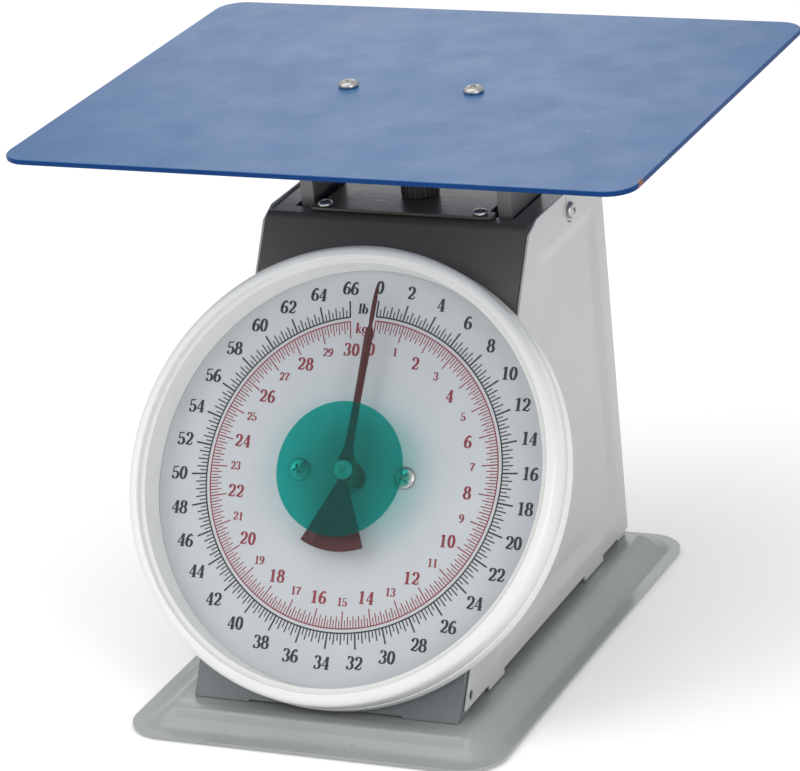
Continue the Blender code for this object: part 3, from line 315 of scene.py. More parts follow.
THIN_PEEL, BASE_PEEL, CAP_PEEL, LEG_PEEL = 0.05 * MM, 0.06 * MM, 0.07 * MM, 0.08 * MM
plate_blue = enamel("plate_blue", (0.004, 0.096, 0.275), (0.003, 0.086, 0.255), 0.37, THIN_PEEL,
                    (0.2, 0.28, 0.42), speck_share=0.03, coat=0.0)
panel_grey = enamel("panel_grey", (0.46, 0.47, 0.465), (0.425, 0.435, 0.43), 0.36, THIN_PEEL,
                    (0.34, 0.34, 0.33), speck_share=0.025)
# The front panel's grey is much darker than the side panels' paint: it holds painted shade from the dial and the
# plate above it.
front_grey_painted_shade = enamel("front_grey_painted_shade", (0.135, 0.155, 0.163), (0.115, 0.133, 0.141), 0.34, THIN_PEEL,
                    (0.32, 0.33, 0.33), speck_share=0.02)
base_grey = enamel("base_grey", (0.325, 0.345, 0.34), (0.285, 0.305, 0.3), 0.32, BASE_PEEL, (0.2, 0.2, 0.19))
# The cap's grey is far darker than the side panels' paint: it holds painted shade from the plate above.
cap_grey_painted_shade = enamel("cap_grey_painted_shade", (0.096, 0.086, 0.075), (0.078, 0.07, 0.061), 0.42, CAP_PEEL, (0.2, 0.2, 0.2))
leg_grey = enamel("leg_grey", (0.19, 0.188, 0.185), (0.14, 0.139, 0.137), 0.3, LEG_PEEL,
                  (0.4, 0.4, 0.39), speck_share=0.05, coat=0.5)

# Painted shade: round the plate's edge, where the surface turns from facing up to facing sideways, the blue is
# darkened, and its shine is lowered there too.
# Chips along its right side are where knocks have gone through to rusty steel.
where = add_node(plate_blue, "ShaderNodeTexCoord")
parts = add_node(plate_blue, "ShaderNodeSeparateXYZ")
wire(plate_blue, where.outputs["Object"], parts.inputs[0])
facing = add_node(plate_blue, "ShaderNodeSeparateXYZ")
wire(plate_blue, where.outputs["Normal"], facing.inputs[0])
EDGE_FACING, TOP_FACING = 0.5, 0.85  # how far up the surface points, at the edge and on the top
painted_edge_shade = ramp(plate_blue, facing.outputs["Z"], EDGE_FACING, TOP_FACING, 0.95, 0.0)
overlay(plate_blue, painted_edge_shade, (0.001, 0.032, 0.145))
edge_shine = ramp(plate_blue, facing.outputs["Z"], EDGE_FACING, TOP_FACING, 0.12, 0.5)
wire(plate_blue, edge_shine, shader_of(plate_blue).inputs["Specular IOR Level"])
beyond_side = ramp(plate_blue, parts.outputs["X"], 0.1508, 0.1518, 0.0, 1.0)
near_front = ramp(plate_blue, parts.outputs["Y"], -0.07, -0.05, 1.0, 0.0)
patchy = ramp(plate_blue, noise(plate_blue, 110, 3), 0.53, 0.57, 0.0, 1.0)
chips = multiply(plate_blue, near_front, patchy)
overlay(plate_blue, multiply(plate_blue, beyond_side, chips), (0.2, 0.07, 0.03))
print("enamels:", [m.name for m in (plate_blue, panel_grey, front_grey_painted_shade, base_grey, cap_grey_painted_shade, leg_grey)])

# %% [markdown]
# ## Metals, plastics, rubber and print
# Zinc plating is a bright metal with a cloudy tone and fine drawn lines. Brass is the same with its
# own colour. The moulded plastics differ mainly in gloss, and rubber is nearly black and rough.


# %% The other finishes
def plated(name, colour, dull, roughness, line_depth=0.01 * MM):
    material = start_finish(name, colour, roughness, metallic=1.0)
    cloudy = ramp(material, noise(material, 90, 5), 0.3, 0.7, dull, colour)
    wire(material, cloudy, shader_of(material).inputs["Base Color"])
    uneven_gloss(material, 160, roughness * 0.75, roughness * 1.5)
    texture_bump(material, noise(material, 500, 2, stretch=(1, 1, 0.08)), line_depth)
    return material


def moulded(name, colour, tone, roughness, grain, depth, coat=0.0):
    material = start_finish(name, colour, roughness, coat=coat)
    uneven = ramp(material, noise(material, 25, 3), 0.3, 0.7, tone, colour)
    wire(material, uneven, shader_of(material).inputs["Base Color"])
    uneven_gloss(material, 70, roughness * 0.92, min(1.0, roughness * 1.15))
    texture_bump(material, noise(material, grain, 2), depth)
    return material


zinc = plated("zinc_plating", (0.62, 0.61, 0.58), (0.42, 0.42, 0.41), 0.32)
bright_zinc = plated("bright_zinc", (0.9, 0.9, 0.88), (0.8, 0.8, 0.78), 0.4)
brass = plated("turned_brass", (0.72, 0.53, 0.24), (0.5, 0.36, 0.16), 0.3)
rim_plastic = moulded("rim_plastic", (0.73, 0.74, 0.72), (0.7, 0.71, 0.69), 0.3, 180, 0.012 * MM, coat=0.15)
knob_plastic = moulded("knob_plastic", (0.03, 0.03, 0.032), (0.022, 0.022, 0.024), 0.45, 900, 0.05 * MM)
foot_rubber = moulded("foot_rubber", (0.028, 0.028, 0.028), (0.02, 0.02, 0.02), 0.82, 1200, 0.08 * MM)
dial_paper = moulded("dial_enamel", (0.5, 0.525, 0.548), (0.475, 0.5, 0.527), 0.42, 1500, 0.006 * MM)
black_ink = moulded("black_ink", (0.008, 0.01, 0.012), (0.014, 0.016, 0.018), 0.5, 1500, 0.004 * MM)
red_ink = moulded("red_ink", (0.2, 0.012, 0.03), (0.25, 0.022, 0.042), 0.5, 1500, 0.004 * MM)
pointer_red = moulded("pointer_enamel", (0.062, 0.006, 0.008), (0.045, 0.004, 0.006), 0.4, 700, 0.02 * MM)
shader_of(pointer_red).inputs["Specular IOR Level"].default_value = 0.3

clear_plastic = start_finish("clear_lens", (0.3, 0.31, 0.31), 0.08)
shader_of(clear_plastic).inputs["Alpha"].default_value = 0.02
shader_of(clear_plastic).inputs["IOR"].default_value = 1.49
wiped = ramp(clear_plastic, noise(clear_plastic, 30, 4), 0.4, 0.75, 0.05, 0.12)
wire(clear_plastic, wiped, shader_of(clear_plastic).inputs["Roughness"])


def coloured_film(name, filter_colour, face_colour, face_share):
    """A clear coloured film: most light passes and is tinted, and a little is scattered by its face."""
    material = start_finish(name, face_colour, 0.25)
    tree = material.node_tree
    clear = add_node(material, "ShaderNodeBsdfTransparent")
    clear.inputs["Color"].default_value = (*filter_colour, 1)
    blend = add_node(material, "ShaderNodeMixShader")
    share = ramp(material, noise(material, 60, 3), 0.3, 0.7, face_share * 0.9, face_share * 1.1)
    wire(material, share, blend.inputs[0])
    wire(material, clear.outputs[0], blend.inputs[1])
    wire(material, shader_of(material).outputs[0], blend.inputs[2])
    wire(material, blend.outputs[0], tree.nodes["Material Output"].inputs["Surface"])
    return material


green_film = coloured_film("green_film", (0.09, 0.72, 0.68), (0.004, 0.44, 0.39), 0.06)
print("materials:", len(bpy.data.materials))

# %% [markdown]
# ## Tools for making pieces
# Sheet-metal pieces that already have the right shape in the frame are copied, and their edges get
# the small radius that a press or a brake leaves: no real edge is perfectly sharp, and that radius
# is what catches the light. Turned pieces are a profile swept round an axis in fine steps.


# %% Piece helpers
def settle(piece, material, body, slot, *replaced):
    """Gives a finished piece its material, the body it moves with and the frame nodes it stands for."""
    if not piece.data.materials:
        piece.data.materials.append(material)
    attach(piece, body)
    if replaced:
        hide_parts(*replaced)
    return piece


def add_piece(name, bm, matrix=None, smooth_angle=35):
    bmesh.ops.recalc_face_normals(bm, faces=bm.faces)
    mesh = bpy.data.meshes.new(name)
    bm.to_mesh(mesh)
    bm.free()
    mesh.shade_smooth()
    mesh.set_sharp_from_angle(angle=math.radians(smooth_angle))
    piece = bpy.data.objects.new(name, mesh)
    bpy.context.scene.collection.objects.link(piece)
    piece.matrix_world = matrix or Matrix.Identity(4)
    return piece


def round_edges(piece, width, segments=3, angle=35):
    bevel = piece.modifiers.new("edge_radius", "BEVEL")
    bevel.width = width
    bevel.segments = segments
    bevel.limit_method = "ANGLE"
    bevel.angle_limit = math.radians(angle)
    bevel.miter_outer = "MITER_ARC"
    weights = piece.modifiers.new("even_shading", "WEIGHTED_NORMAL")
    weights.keep_sharp = False
    return piece


def body_of_node(node):
    return next(body for body, nodes in frame["record"]["behaviour"]["bodies"].items() if node in nodes)


def slot_of_node(node):
    return next(part["material_slot"] for part in frame["record"]["subparts"] if part["node"] == node)


def softened(node, material, width, segments=3, angle=35):
    """Replaces a frame node by a copy with its flat faces merged and its edges rounded."""
    bm = bmesh.new()
    bm.from_mesh(frame["nodes"][node].data)
    bmesh.ops.remove_doubles(bm, verts=bm.verts, dist=0.005 * MM)
    bmesh.ops.dissolve_limit(bm, angle_limit=math.radians(0.5), verts=bm.verts, edges=bm.edges)
    piece = add_piece(node + "_finished", bm, smooth_angle=angle)
    round_edges(piece, width, segments, angle)
    return settle(piece, material, body_of_node(node), slot_of_node(node), node)


def turned(name, profile, matrix, segments=160, smooth_angle=30):
    """A solid turned from a closed (radius, height) profile in millimetres."""
    bm = bmesh.new()
    rings = []
    for radius, height in profile:
        steps = 1 if radius == 0 else segments
        ring = []
        for i in range(steps):
            angle = 2 * math.pi * i / segments
            point = (radius * math.cos(angle) * MM, radius * math.sin(angle) * MM, height * MM)
            ring.append(bm.verts.new(point))
        rings.append(ring)
    for first, second in zip(rings, rings[1:] + rings[:1]):
        for i in range(segments):
            j = (i + 1) % segments
            corners = [first[i % len(first)], first[j % len(first)]]
            corners += [second[j % len(second)], second[i % len(second)]]
            corners = list(dict.fromkeys(corners))
            if len(corners) > 2:
                bm.faces.new(corners)
    return add_piece(name, bm, matrix, smooth_angle)


def arc(centre, radius, start, end, steps):
    """Points from one angle to another, in degrees, for use inside a profile."""
    points = []
    for i in range(steps + 1):
        angle = math.radians(start + (end - start) * i / steps)
        points.append((centre[0] + radius * math.cos(angle), centre[1] + radius * math.sin(angle)))
    return points


def rounded(corners, radii, steps=10):
    """A closed outline through these corners, with an arc of the given radius at each one."""
    outline = []
    for i, radius in enumerate(radii):
        corner = Vector(corners[i])
        back = (Vector(corners[i - 1]) - corner).normalized()
        ahead = (Vector(corners[(i + 1) % len(corners)]) - corner).normalized()
        if radius == 0:
            outline.append(tuple(corner))
            continue
        half = back.angle(ahead) / 2
        centre = corner + (back + ahead).normalized() * radius / math.sin(half)
        start = corner + back * radius / math.tan(half) - centre
        end = corner + ahead * radius / math.tan(half) - centre
        sweep = start.angle_signed(end)
        for k in range(steps + 1):
            outline.append(tuple(centre + Matrix.Rotation(-sweep * k / steps, 2) @ start))
    return outline


print("piece helpers ready")

# %% [markdown]
# ## Load plate, legs and top cover
# The plate is 2.5 mm sheet with a small edge radius and generous corners. The legs are one channel
# section bent into an upside-down U. Both have the right form in the frame, so they only need edges.

# %% Plate, carrier, cover and knob
softened("weighing_plate", plate_blue, 0.7 * MM, 3)
softened("platform_carrier", leg_grey, 0.6 * MM, 3)
# The cover plate under the load plate takes the same dark grey with painted shade.
softened("cover_plate", cap_grey_painted_shade, 0.45 * MM, 3)
softened("zero_knob", knob_plastic, 0.3 * MM, 2, 40)

# %% [markdown]
# ## Bent housing sheets
# The cap, front and back are 1.2 mm sheet with folded flanges.

# %% Cap, front and back
# The cap takes the dark grey that holds painted shade.
softened("top_cap", cap_grey_painted_shade, 0.35 * MM, 2)
# The front panel takes its darker grey, which holds painted shade.
softened("front_panel", front_grey_painted_shade, 0.8 * MM, 3)
softened("back_panel", panel_grey, 0.35 * MM, 2)
print("cap, front and back done")

# %% [markdown]
# ## Side panels
# Each side is one sheet with a pressed field, which stiffens it. A press leaves soft shoulders, so the
# step from the sheet down to the field is built as several outlines, each a little smaller and deeper
# along an S-curve. The flat part between the edge, the field and the holes is filled in one go.

# %% Side panels
HOUSING_BACK, HOUSING_LOW = 88 * MM, 10.4 * MM
FIELD_DEPTH, SHOULDER = 1.9 * MM, 9.5 * MM
FIELD_LOW, FIELD_TOP, FIELD_INWARD = 20 * MM, 185.5 * MM, 16 * MM
SHEET = 1.2 * MM
SHELL_SIDE = 65.8 * MM


def side_outline():
    """The (y, z) edge of a side panel, with its two bottom tabs."""
    low, tab = HOUSING_LOW + 3.4 * MM, HOUSING_LOW + 0.8 * MM
    front_low = slope_point((TOP_BEND.z - low) / math.cos(LEAN))[0] + 4 * MM
    top = TOP_BEND.z + 1 * MM
    outline = [(front_low, low)]
    for start, end in ((-90, -72), (30, 54)):
        outline += [(start * MM, low), (start * MM, tab), (end * MM, tab), (end * MM, low)]
    return outline + [(HOUSING_BACK, low), (HOUSING_BACK, top), (8 * MM, top), slope_point(4 * MM)]


def field_outline(inset):
    """The pressed field's (y, z) outline, shrunk by inset."""
    low, high, inward = FIELD_LOW + inset, FIELD_TOP - inset, FIELD_INWARD + inset
    front = slope_point((slope_point(0, inward)[1] - low) / math.cos(LEAN), inward)
    top = slope_point(30 * MM + inset * 0.6, inward + 4 * MM)
    corners = [(front[0], low), (HOUSING_BACK - 7.5 * MM - inset, low),
               (HOUSING_BACK - 9.5 * MM - inset, high), (top[0] + 8 * MM, high),
               (top[0], top[1] - 2 * MM)]
    return rounded(corners, [8 * MM, 26 * MM, 7 * MM, 5 * MM, 8 * MM], 8)


def ring_of(centre, radius, steps=20):
    turns = [2 * math.pi * i / steps for i in range(steps)]
    return [(centre[0] + radius * math.cos(t), centre[1] + radius * math.sin(t)) for t in turns]


def tongue_slot():
    """A thin hooked slot that frees a tongue of sheet round the top screw, as (y, z) points."""
    near = [(43.4, 199.6), (43.4, 189.5), (44.4, 187.6), (46.2, 186.7), (48.6, 186.5)]
    far = [(48.6, 187.0), (46.4, 187.2), (44.8, 188.0), (43.9, 189.7), (43.9, 199.6)]
    return [(y * MM, z * MM) for y, z in near + far]


SIDE_SCREW_TOP = (47 * MM, 192.5 * MM)
SIDE_SCREW_FRONT = slope_point(213 * MM, 7 * MM)
for side, word in ((-1, "left"), (1, "right")):
    bm = bmesh.new()
    flat_loops = [side_outline(), field_outline(0), ring_of(SIDE_SCREW_TOP, 2.3 * MM)]
    flat_loops += [ring_of(SIDE_SCREW_FRONT, 2.3 * MM), tongue_slot()]
    edges = []
    for outline in flat_loops:
        points = [bm.verts.new((side * SHELL_SIDE, y, z)) for y, z in outline]
        edges += [bm.edges.new((points[i - 1], points[i])) for i in range(len(points))]
        if outline is flat_loops[1]:
            shoulder = points
    bmesh.ops.triangle_fill(bm, use_beauty=True, edges=edges, normal=(side, 0, 0))
    for step in range(1, 9):
        share = step / 8
        drop = FIELD_DEPTH * share * share * (3 - 2 * share)
        x = side * (SHELL_SIDE - drop)
        points = [bm.verts.new((x, y, z)) for y, z in field_outline(SHOULDER * share)]
        for i in range(len(points)):
            bm.faces.new((shoulder[i - 1], shoulder[i], points[i], points[i - 1]))
        shoulder = points
    bm.faces.new(shoulder)
    bmesh.ops.recalc_face_normals(bm, faces=bm.faces)
    if sum(face.normal.x * face.calc_area() for face in bm.faces) * side < 0:
        bmesh.ops.reverse_faces(bm, faces=bm.faces)
    node = "side_panel_" + word
    mesh = bpy.data.meshes.new(node + "_pressed")
    bm.to_mesh(mesh)
    bm.free()
    mesh.shade_smooth()
    panel = bpy.data.objects.new(node + "_pressed", mesh)
    bpy.context.scene.collection.objects.link(panel)
    thick = panel.modifiers.new("sheet", "SOLIDIFY")
    thick.thickness, thick.offset, thick.use_even_offset = SHEET, 1, True
    round_edges(panel, 0.3 * MM, 2, 50)
    settle(panel, panel_grey, "housing", slot_of_node(node), node)
print("side panels at x", round(SHELL_SIDE / MM, 1), "mm")

# %% [markdown]
# ## Base
# The base is one pressed sheet: a flat flange, an S-curve up to a plateau, and a low raised bar across
# the front. Its height is worked out point by point from how far a point is inside the edge and inside
# the bar, on outlines that shrink inwards, so the curves stay smooth however the shapes meet.

# %% Pressed base
BASE_SIDE, BASE_FRONT, BASE_BACK, BASE_CORNER = 92, -151, 107, 19  # mm
FLANGE_TOP, PLATEAU = 2.4, 10.0
BAR_MIDDLE = -132.5


def soft_step(value):
    share = min(max(value, 0.0), 1.0)
    return share * share * (3 - 2 * share)


def inside_bar(x, y):
    """How far this point is inside the raised bar, in mm. Negative outside it."""
    half_x, half_y, corner = 75.5, 7.5, 6.0
    away = Vector((max(abs(x) - half_x + corner, 0), max(abs(y - BAR_MIDDLE) - half_y + corner, 0)))
    return corner - away.length


def base_height(x, y, inset):
    slope = soft_step((inset - 5.5) / 14.5) * (PLATEAU - FLANGE_TOP)
    bar = soft_step(inside_bar(x, y) / 4.0) * (PLATEAU + 0.3 - FLANGE_TOP) if inset > 2 else 0.0
    return FLANGE_TOP + max(slope, bar)


def base_outline(inset, spacing=3.0):
    """Evenly divided points round the base, this far inside its edge, in mm."""
    radius = max(BASE_CORNER - inset, 0.5)
    wide, low, high = BASE_SIDE - inset, BASE_FRONT + inset, BASE_BACK - inset
    centres = [(wide - radius, low + radius, -90), (wide - radius, high - radius, 0),
               (radius - wide, high - radius, 90), (radius - wide, low + radius, 180)]
    points = []
    for index, (x, y, start) in enumerate(centres):
        points += arc((x, y), radius, start, start + 90, 12)
        after = arc(centres[(index + 1) % 4][:2], radius, start + 90, start + 90, 1)[0]
        count = round((2 * BASE_SIDE if index % 2 else BASE_BACK - BASE_FRONT) / spacing)
        last = Vector(points[-1])
        points += [tuple(last.lerp(Vector(after), i / count)) for i in range(1, count)]
    return points


bm = bmesh.new()
loops = []
INSETS = (0, 1, 2.2, 3.4, 4.6, 5.8, 7, 8.2, 9.4, 10.6, 11.8, 13, 14.2, 15.4, 16.6, 17.8, 19, 20.2, 21.6, 23, 25, 29)
for inset in INSETS:
    row = [(x, y, base_height(x, y, inset)) for x, y in base_outline(inset)]
    loops.append([bm.verts.new(Vector(point) * MM) for point in row])
for outer, inner in zip(loops, loops[1:]):
    for i in range(len(outer)):
        bm.faces.new((outer[i - 1], outer[i], inner[i], inner[i - 1]))
bm.faces.new(loops[-1])
pressed_base = add_piece("base_pressed", bm, None, 50)
if pressed_base.data.polygons[-1].normal.z < 0:
    pressed_base.data.flip_normals()
thick = pressed_base.modifiers.new("sheet", "SOLIDIFY")
thick.thickness, thick.offset, thick.use_even_offset = SHEET, -1, True
round_edges(pressed_base, 0.3 * MM, 2, 60)
settle(pressed_base, base_grey, "housing", slot_of_node("base_plate"), "base_plate")

# %% [markdown]
# ## The dial's printed face
# The face is a thin enamelled disc. Its marks are printed, so each ring of marks is one very thin
# solid that lies on it. A mark's angle comes from the weight it stands for: both scales share one
# sweep that starts just past the top and ends at 350.4 degrees, which is 30 kg or 66 lb.

# %% Face disc
FACE_RADIUS = 98.6
INK = (0.01, 0.05)  # mm, the ink's underside and top above the face
SWEEP = 350.4
FIRST_MARK = 0.6  # degrees past the top

face_profile = [(7, -0.8), (FACE_RADIUS, -0.8), (FACE_RADIUS, -0.1), (FACE_RADIUS - 0.1, 0), (7, 0)]
printed_face = turned("dial_face_printed", face_profile, on_dial(0, -RIM_DROP), 200)
settle(printed_face, dial_paper, "housing", "dial_print", "dial_face")
print("face radius", FACE_RADIUS, "mm")


# %% [markdown]
# ### Marks
# A mark is a narrow bar along a radius. All bars of a ring go into one mesh, and the ring they stand
# on is added to it, so a whole scale is one piece with one ink.


# %% Scale marks
def at_angle(degrees, radius, across=0.0):
    """(x, y) on the face, clockwise from the top, in mm."""
    angle = math.radians(degrees)
    x = radius * math.sin(angle) + across * math.cos(angle)
    y = radius * math.cos(angle) - across * math.sin(angle)
    return x, y


def add_slab(bm, outline):
    """A closed thin solid in ink thickness from a convex (x, y) outline in mm."""
    low = [bm.verts.new((x * MM, y * MM, INK[0] * MM)) for x, y in outline]
    high = [bm.verts.new((x * MM, y * MM, INK[1] * MM)) for x, y in outline]
    bm.faces.new(low)
    bm.faces.new(high)
    for i in range(len(outline)):
        j = (i + 1) % len(outline)
        bm.faces.new((low[i], low[j], high[j], high[i]))


def add_mark(bm, degrees, inner, outer, width):
    half = width / 2
    ends = [(inner, -half), (inner, half), (outer, half), (outer, -half)]
    add_slab(bm, [at_angle(degrees, radius, across) for radius, across in ends])


def add_ring(bm, start, end, inner, outer, steps=240):
    """A printed circle, in pieces that each run from one angle to the next."""
    loops = []
    for i in range(steps + 1):
        angle = start + (end - start) * i / steps
        inner_point, outer_point = at_angle(angle, inner), at_angle(angle, outer)
        row = [(point, level) for level in INK for point in (inner_point, outer_point)]
        loops.append([bm.verts.new((point[0] * MM, point[1] * MM, level * MM)) for point, level in row])
    for first, second in zip(loops, loops[1:]):
        for a, b in ((0, 1), (1, 3), (3, 2), (2, 0)):
            bm.faces.new((first[a], first[b], second[b], second[a]))
    for end_loop in (loops[0], loops[-1]):
        bm.faces.new([end_loop[i] for i in (0, 1, 3, 2)])


def print_scale(name, step_count, circle, ring_width, mark_for, ink):
    bm = bmesh.new()
    add_ring(bm, FIRST_MARK - 0.2, SWEEP + 0.2, circle - ring_width / 2, circle + ring_width / 2)
    for step in range(step_count + 1):
        length, width = mark_for(step)
        outer = circle + length
        turn = FIRST_MARK + (SWEEP - FIRST_MARK) * step / step_count
        add_mark(bm, turn, min(circle, outer), max(circle, outer), width)
    return settle(add_piece(name, bm, on_dial()), ink, "housing", "dial_print")


def pound_mark(step):
    if step % 8 == 0:
        return 7.6, 0.8
    return (5.2, 0.6) if step % 2 == 0 else (3.4, 0.53)


def kilogram_mark(step):
    if step % 10 == 0:
        return -8.0, 0.58
    return (-5.6, 0.5) if step % 2 == 0 else (-3.9, 0.44)


print_scale("pound_scale", 264, 72.9, 0.7, pound_mark, black_ink)
print_scale("kilogram_scale", 300, 70.9, 0.58, kilogram_mark, red_ink)
print("marks: 265 black, 301 red")

# %% [markdown]
# ### Numerals
# The numerals are an old-fashioned book face: thick upright strokes, hairline horizontals and round
# drops at the ends. No built-in font looks like that, so each digit is drawn as a pen would draw it.
# A stroke is a line of points, and its width grows with how upright the stroke runs.


# %% Digits by pen
def bow(cx, cy, rx, ry, start, end, steps=18):
    """Points along part of an ellipse, in degrees."""
    points = []
    for i in range(steps + 1):
        angle = math.radians(start + (end - start) * i / steps)
        points.append((cx + rx * math.cos(angle), cy + ry * math.sin(angle)))
    return points


def round_drop(cx, cy, radius):
    return [(cx - radius * 0.15, cy), (cx + radius * 0.15, cy)], radius * 2


# Each digit or letter is a list of (points, fixed width or None), in a box 0.56 wide and 1 high.
DIGITS = {
    "0": [(bow(0.27, 0.5, 0.19, 0.46, 90, 450, 36), None)],
    "1": [([(0.29, 0.02), (0.29, 0.5), (0.29, 0.97)], None), ([(0.27, 0.95), (0.18, 0.86), (0.08, 0.83)], 0.05),
          ([(0.1, 0.025), (0.48, 0.025)], 0.05)],
    "2": [(bow(0.26, 0.7, 0.19, 0.26, 170, -25) + [(0.36, 0.43), (0.2, 0.24), (0.07, 0.07)], None),
          ([(0.06, 0.075), (0.2, 0.1), (0.34, 0.06), (0.45, 0.09)], 0.12), ([(0.47, 0.08), (0.5, 0.27)], 0.045),
          round_drop(0.12, 0.74, 0.075)],
    "3": [(bow(0.24, 0.74, 0.18, 0.22, 150, -80) + [(0.22, 0.52)], None),
          (bow(0.23, 0.27, 0.22, 0.25, 88, -150), None), round_drop(0.11, 0.81, 0.07), round_drop(0.09, 0.2, 0.075)],
    "4": [([(0.35, 0.97), (0.2, 0.62), (0.03, 0.27)], 0.045), ([(0.03, 0.27), (0.54, 0.27)], 0.055),
          ([(0.37, 0.96), (0.37, 0.5), (0.37, 0.03)], None), ([(0.22, 0.025), (0.51, 0.025)], 0.05)],
    "5": [([(0.11, 0.93), (0.26, 0.9), (0.44, 0.96)], 0.1), ([(0.1, 0.94), (0.085, 0.5)], 0.05),
          (bow(0.24, 0.3, 0.22, 0.27, 138, -150), None), round_drop(0.1, 0.2, 0.075)],
    "6": [(bow(0.28, 0.28, 0.19, 0.26, 90, 450, 30), None), (bow(0.43, 0.34, 0.35, 0.62, 180, 92), None),
          round_drop(0.43, 0.86, 0.07)],
    "7": [([(0.07, 0.9), (0.2, 0.87), (0.34, 0.91), (0.5, 0.88)], 0.13), ([(0.06, 0.95), (0.05, 0.72)], 0.045),
          ([(0.49, 0.86), (0.34, 0.6), (0.25, 0.34), (0.22, 0.03)], None)],
    "8": [(bow(0.27, 0.74, 0.16, 0.22, 90, 450, 30), None), (bow(0.27, 0.27, 0.2, 0.25, 90, 450, 30), None)],
    "9": [(bow(0.26, 0.7, 0.19, 0.26, 90, 450, 30), None), (bow(0.11, 0.64, 0.35, 0.62, 0, -88), None),
          round_drop(0.11, 0.14, 0.07)],
    "l": [([(0.28, 0.02), (0.28, 0.5), (0.28, 0.98)], None), ([(0.28, 0.955), (0.13, 0.955)], 0.06),
          ([(0.12, 0.03), (0.44, 0.03)], 0.06)],
    "b": [([(0.15, 0.06), (0.15, 0.5), (0.15, 0.98)], None), ([(0.15, 0.955), (0.02, 0.955)], 0.06),
          (bow(0.3, 0.31, 0.19, 0.29, 90, 450, 30), None)],
    "k": [([(0.14, 0.02), (0.14, 0.5), (0.14, 0.98)], None), ([(0.14, 0.955), (0.01, 0.955)], 0.06),
          ([(0.16, 0.28), (0.45, 0.6)], 0.06), ([(0.26, 0.38), (0.5, 0.03)], 0.14),
          ([(0.02, 0.03), (0.28, 0.03)], 0.06), ([(0.34, 0.03), (0.58, 0.03)], 0.06)],
    "g": [(bow(0.25, 0.35, 0.17, 0.26, 90, 450, 30), None), (bow(0.26, -0.05, 0.2, 0.16, 90, 450, 30), 0.07),
          ([(0.38, 0.56), (0.52, 0.62)], 0.09)],
}
THICK, THIN = 0.205, 0.082
WIDE = 1.12  # how far the whole alphabet is stretched across
NARROW = {"l": 0.82}  # letters that take less room than a digit


def add_stroke(bm, points, fixed, height, place):
    """A pen stroke as a closed ribbon of slabs, scaled to this height in mm at that place."""
    sides = []
    for i, point in enumerate(points):
        before, after = points[max(i - 1, 0)], points[min(i + 1, len(points) - 1)]
        ahead = (Vector(after) - Vector(before)).normalized()
        width = max(fixed or THIN + (THICK - THIN) * abs(ahead.y) ** 1.6, THIN)
        across = Vector((-ahead.y, ahead.x)) * width / 2
        pair = [Vector(point) + across, Vector(point) - across]
        sides.append([(place[0] + p.x * height * WIDE, place[1] + p.y * height) for p in pair])
    loops = []
    for pair in sides:
        loops.append([bm.verts.new((x * MM, y * MM, level * MM)) for level in INK for x, y in pair])
    for first, second in zip(loops, loops[1:]):
        for a, b in ((0, 1), (1, 3), (3, 2), (2, 0)):
            bm.faces.new((first[a], first[b], second[b], second[a]))
    for end_loop in (loops[0], loops[-1]):
        bm.faces.new([end_loop[i] for i in (0, 1, 3, 2)])


def add_disc(bm, centre, radius, place, height, steps=14):
    points = bow(centre[0], centre[1], radius, radius, 0, 360 - 360 / steps, steps - 1)
    add_slab(bm, [(place[0] + x * height * WIDE, place[1] + y * height) for x, y in points])


def add_number(bm, text, centre, height, pitch=0.58):
    step = pitch * WIDE * height
    x = centre[0] - sum(NARROW.get(digit, 1) for digit in text) * step / 2
    for digit in text:
        place = (x, centre[1] - height / 2)
        x += NARROW.get(digit, 1) * step
        for points, width in DIGITS[digit]:
            level = len(points) == 2 and points[0][1] == points[1][1]
            if width and level and abs(points[1][0] - points[0][0]) < width * 0.3:
                middle = ((points[0][0] + points[1][0]) / 2, points[0][1])
                add_disc(bm, middle, width / 2, place, height)
            else:
                add_stroke(bm, points, width, height, place)


BLACK_TURN, RED_TURN = 0.5, 0.7  # degrees that the numerals sit past their marks
black_numbers = bmesh.new()
for pounds in range(0, 67, 2):
    add_number(black_numbers, str(pounds), at_angle(SWEEP * pounds / 66 + BLACK_TURN, 86.6), 6.1)
settle(add_piece("pound_numerals", black_numbers, on_dial()), black_ink, "housing", "dial_print")

red_numbers = bmesh.new()
for kilograms in range(31):
    large = kilograms % 2 == 0
    radius, height, pitch = (57.7, 5.9, 0.62) if large else (58.6, 3.9, 0.58)
    middle = at_angle(SWEEP * kilograms / 30 + RED_TURN, radius)
    add_number(red_numbers, str(kilograms), middle, height, pitch)
settle(add_piece("kilogram_numerals", red_numbers, on_dial()), red_ink, "housing", "dial_print")
print("numerals: 34 black, 31 red")

# %% [markdown]
# ### Units
# The only letters are the two plain unit signs, lb and kg. The same pen draws them, so they match
# the numerals.


# %% Unit labels
def label(name, text, x, y, height, ink, pitch=0.6):
    bm = bmesh.new()
    add_number(bm, text, (x, y), height, pitch)
    return settle(add_piece(name, bm, on_dial()), ink, "housing", "dial_print")


label("unit_pounds", "lb", -6.6, 76.3, 4.7, black_ink, 0.55)
label("unit_kilograms", "kg", -5.4, 67.2, 4.8, red_ink)
print("labels done")

# %% [markdown]
# ## Rim, lens and disc
# The rim is one moulded ring: a skirt, a rolled front and a wide inner slope down to the face. It is
# turned from a profile with an arc at every change of direction, as a moulding has no sharp corners.

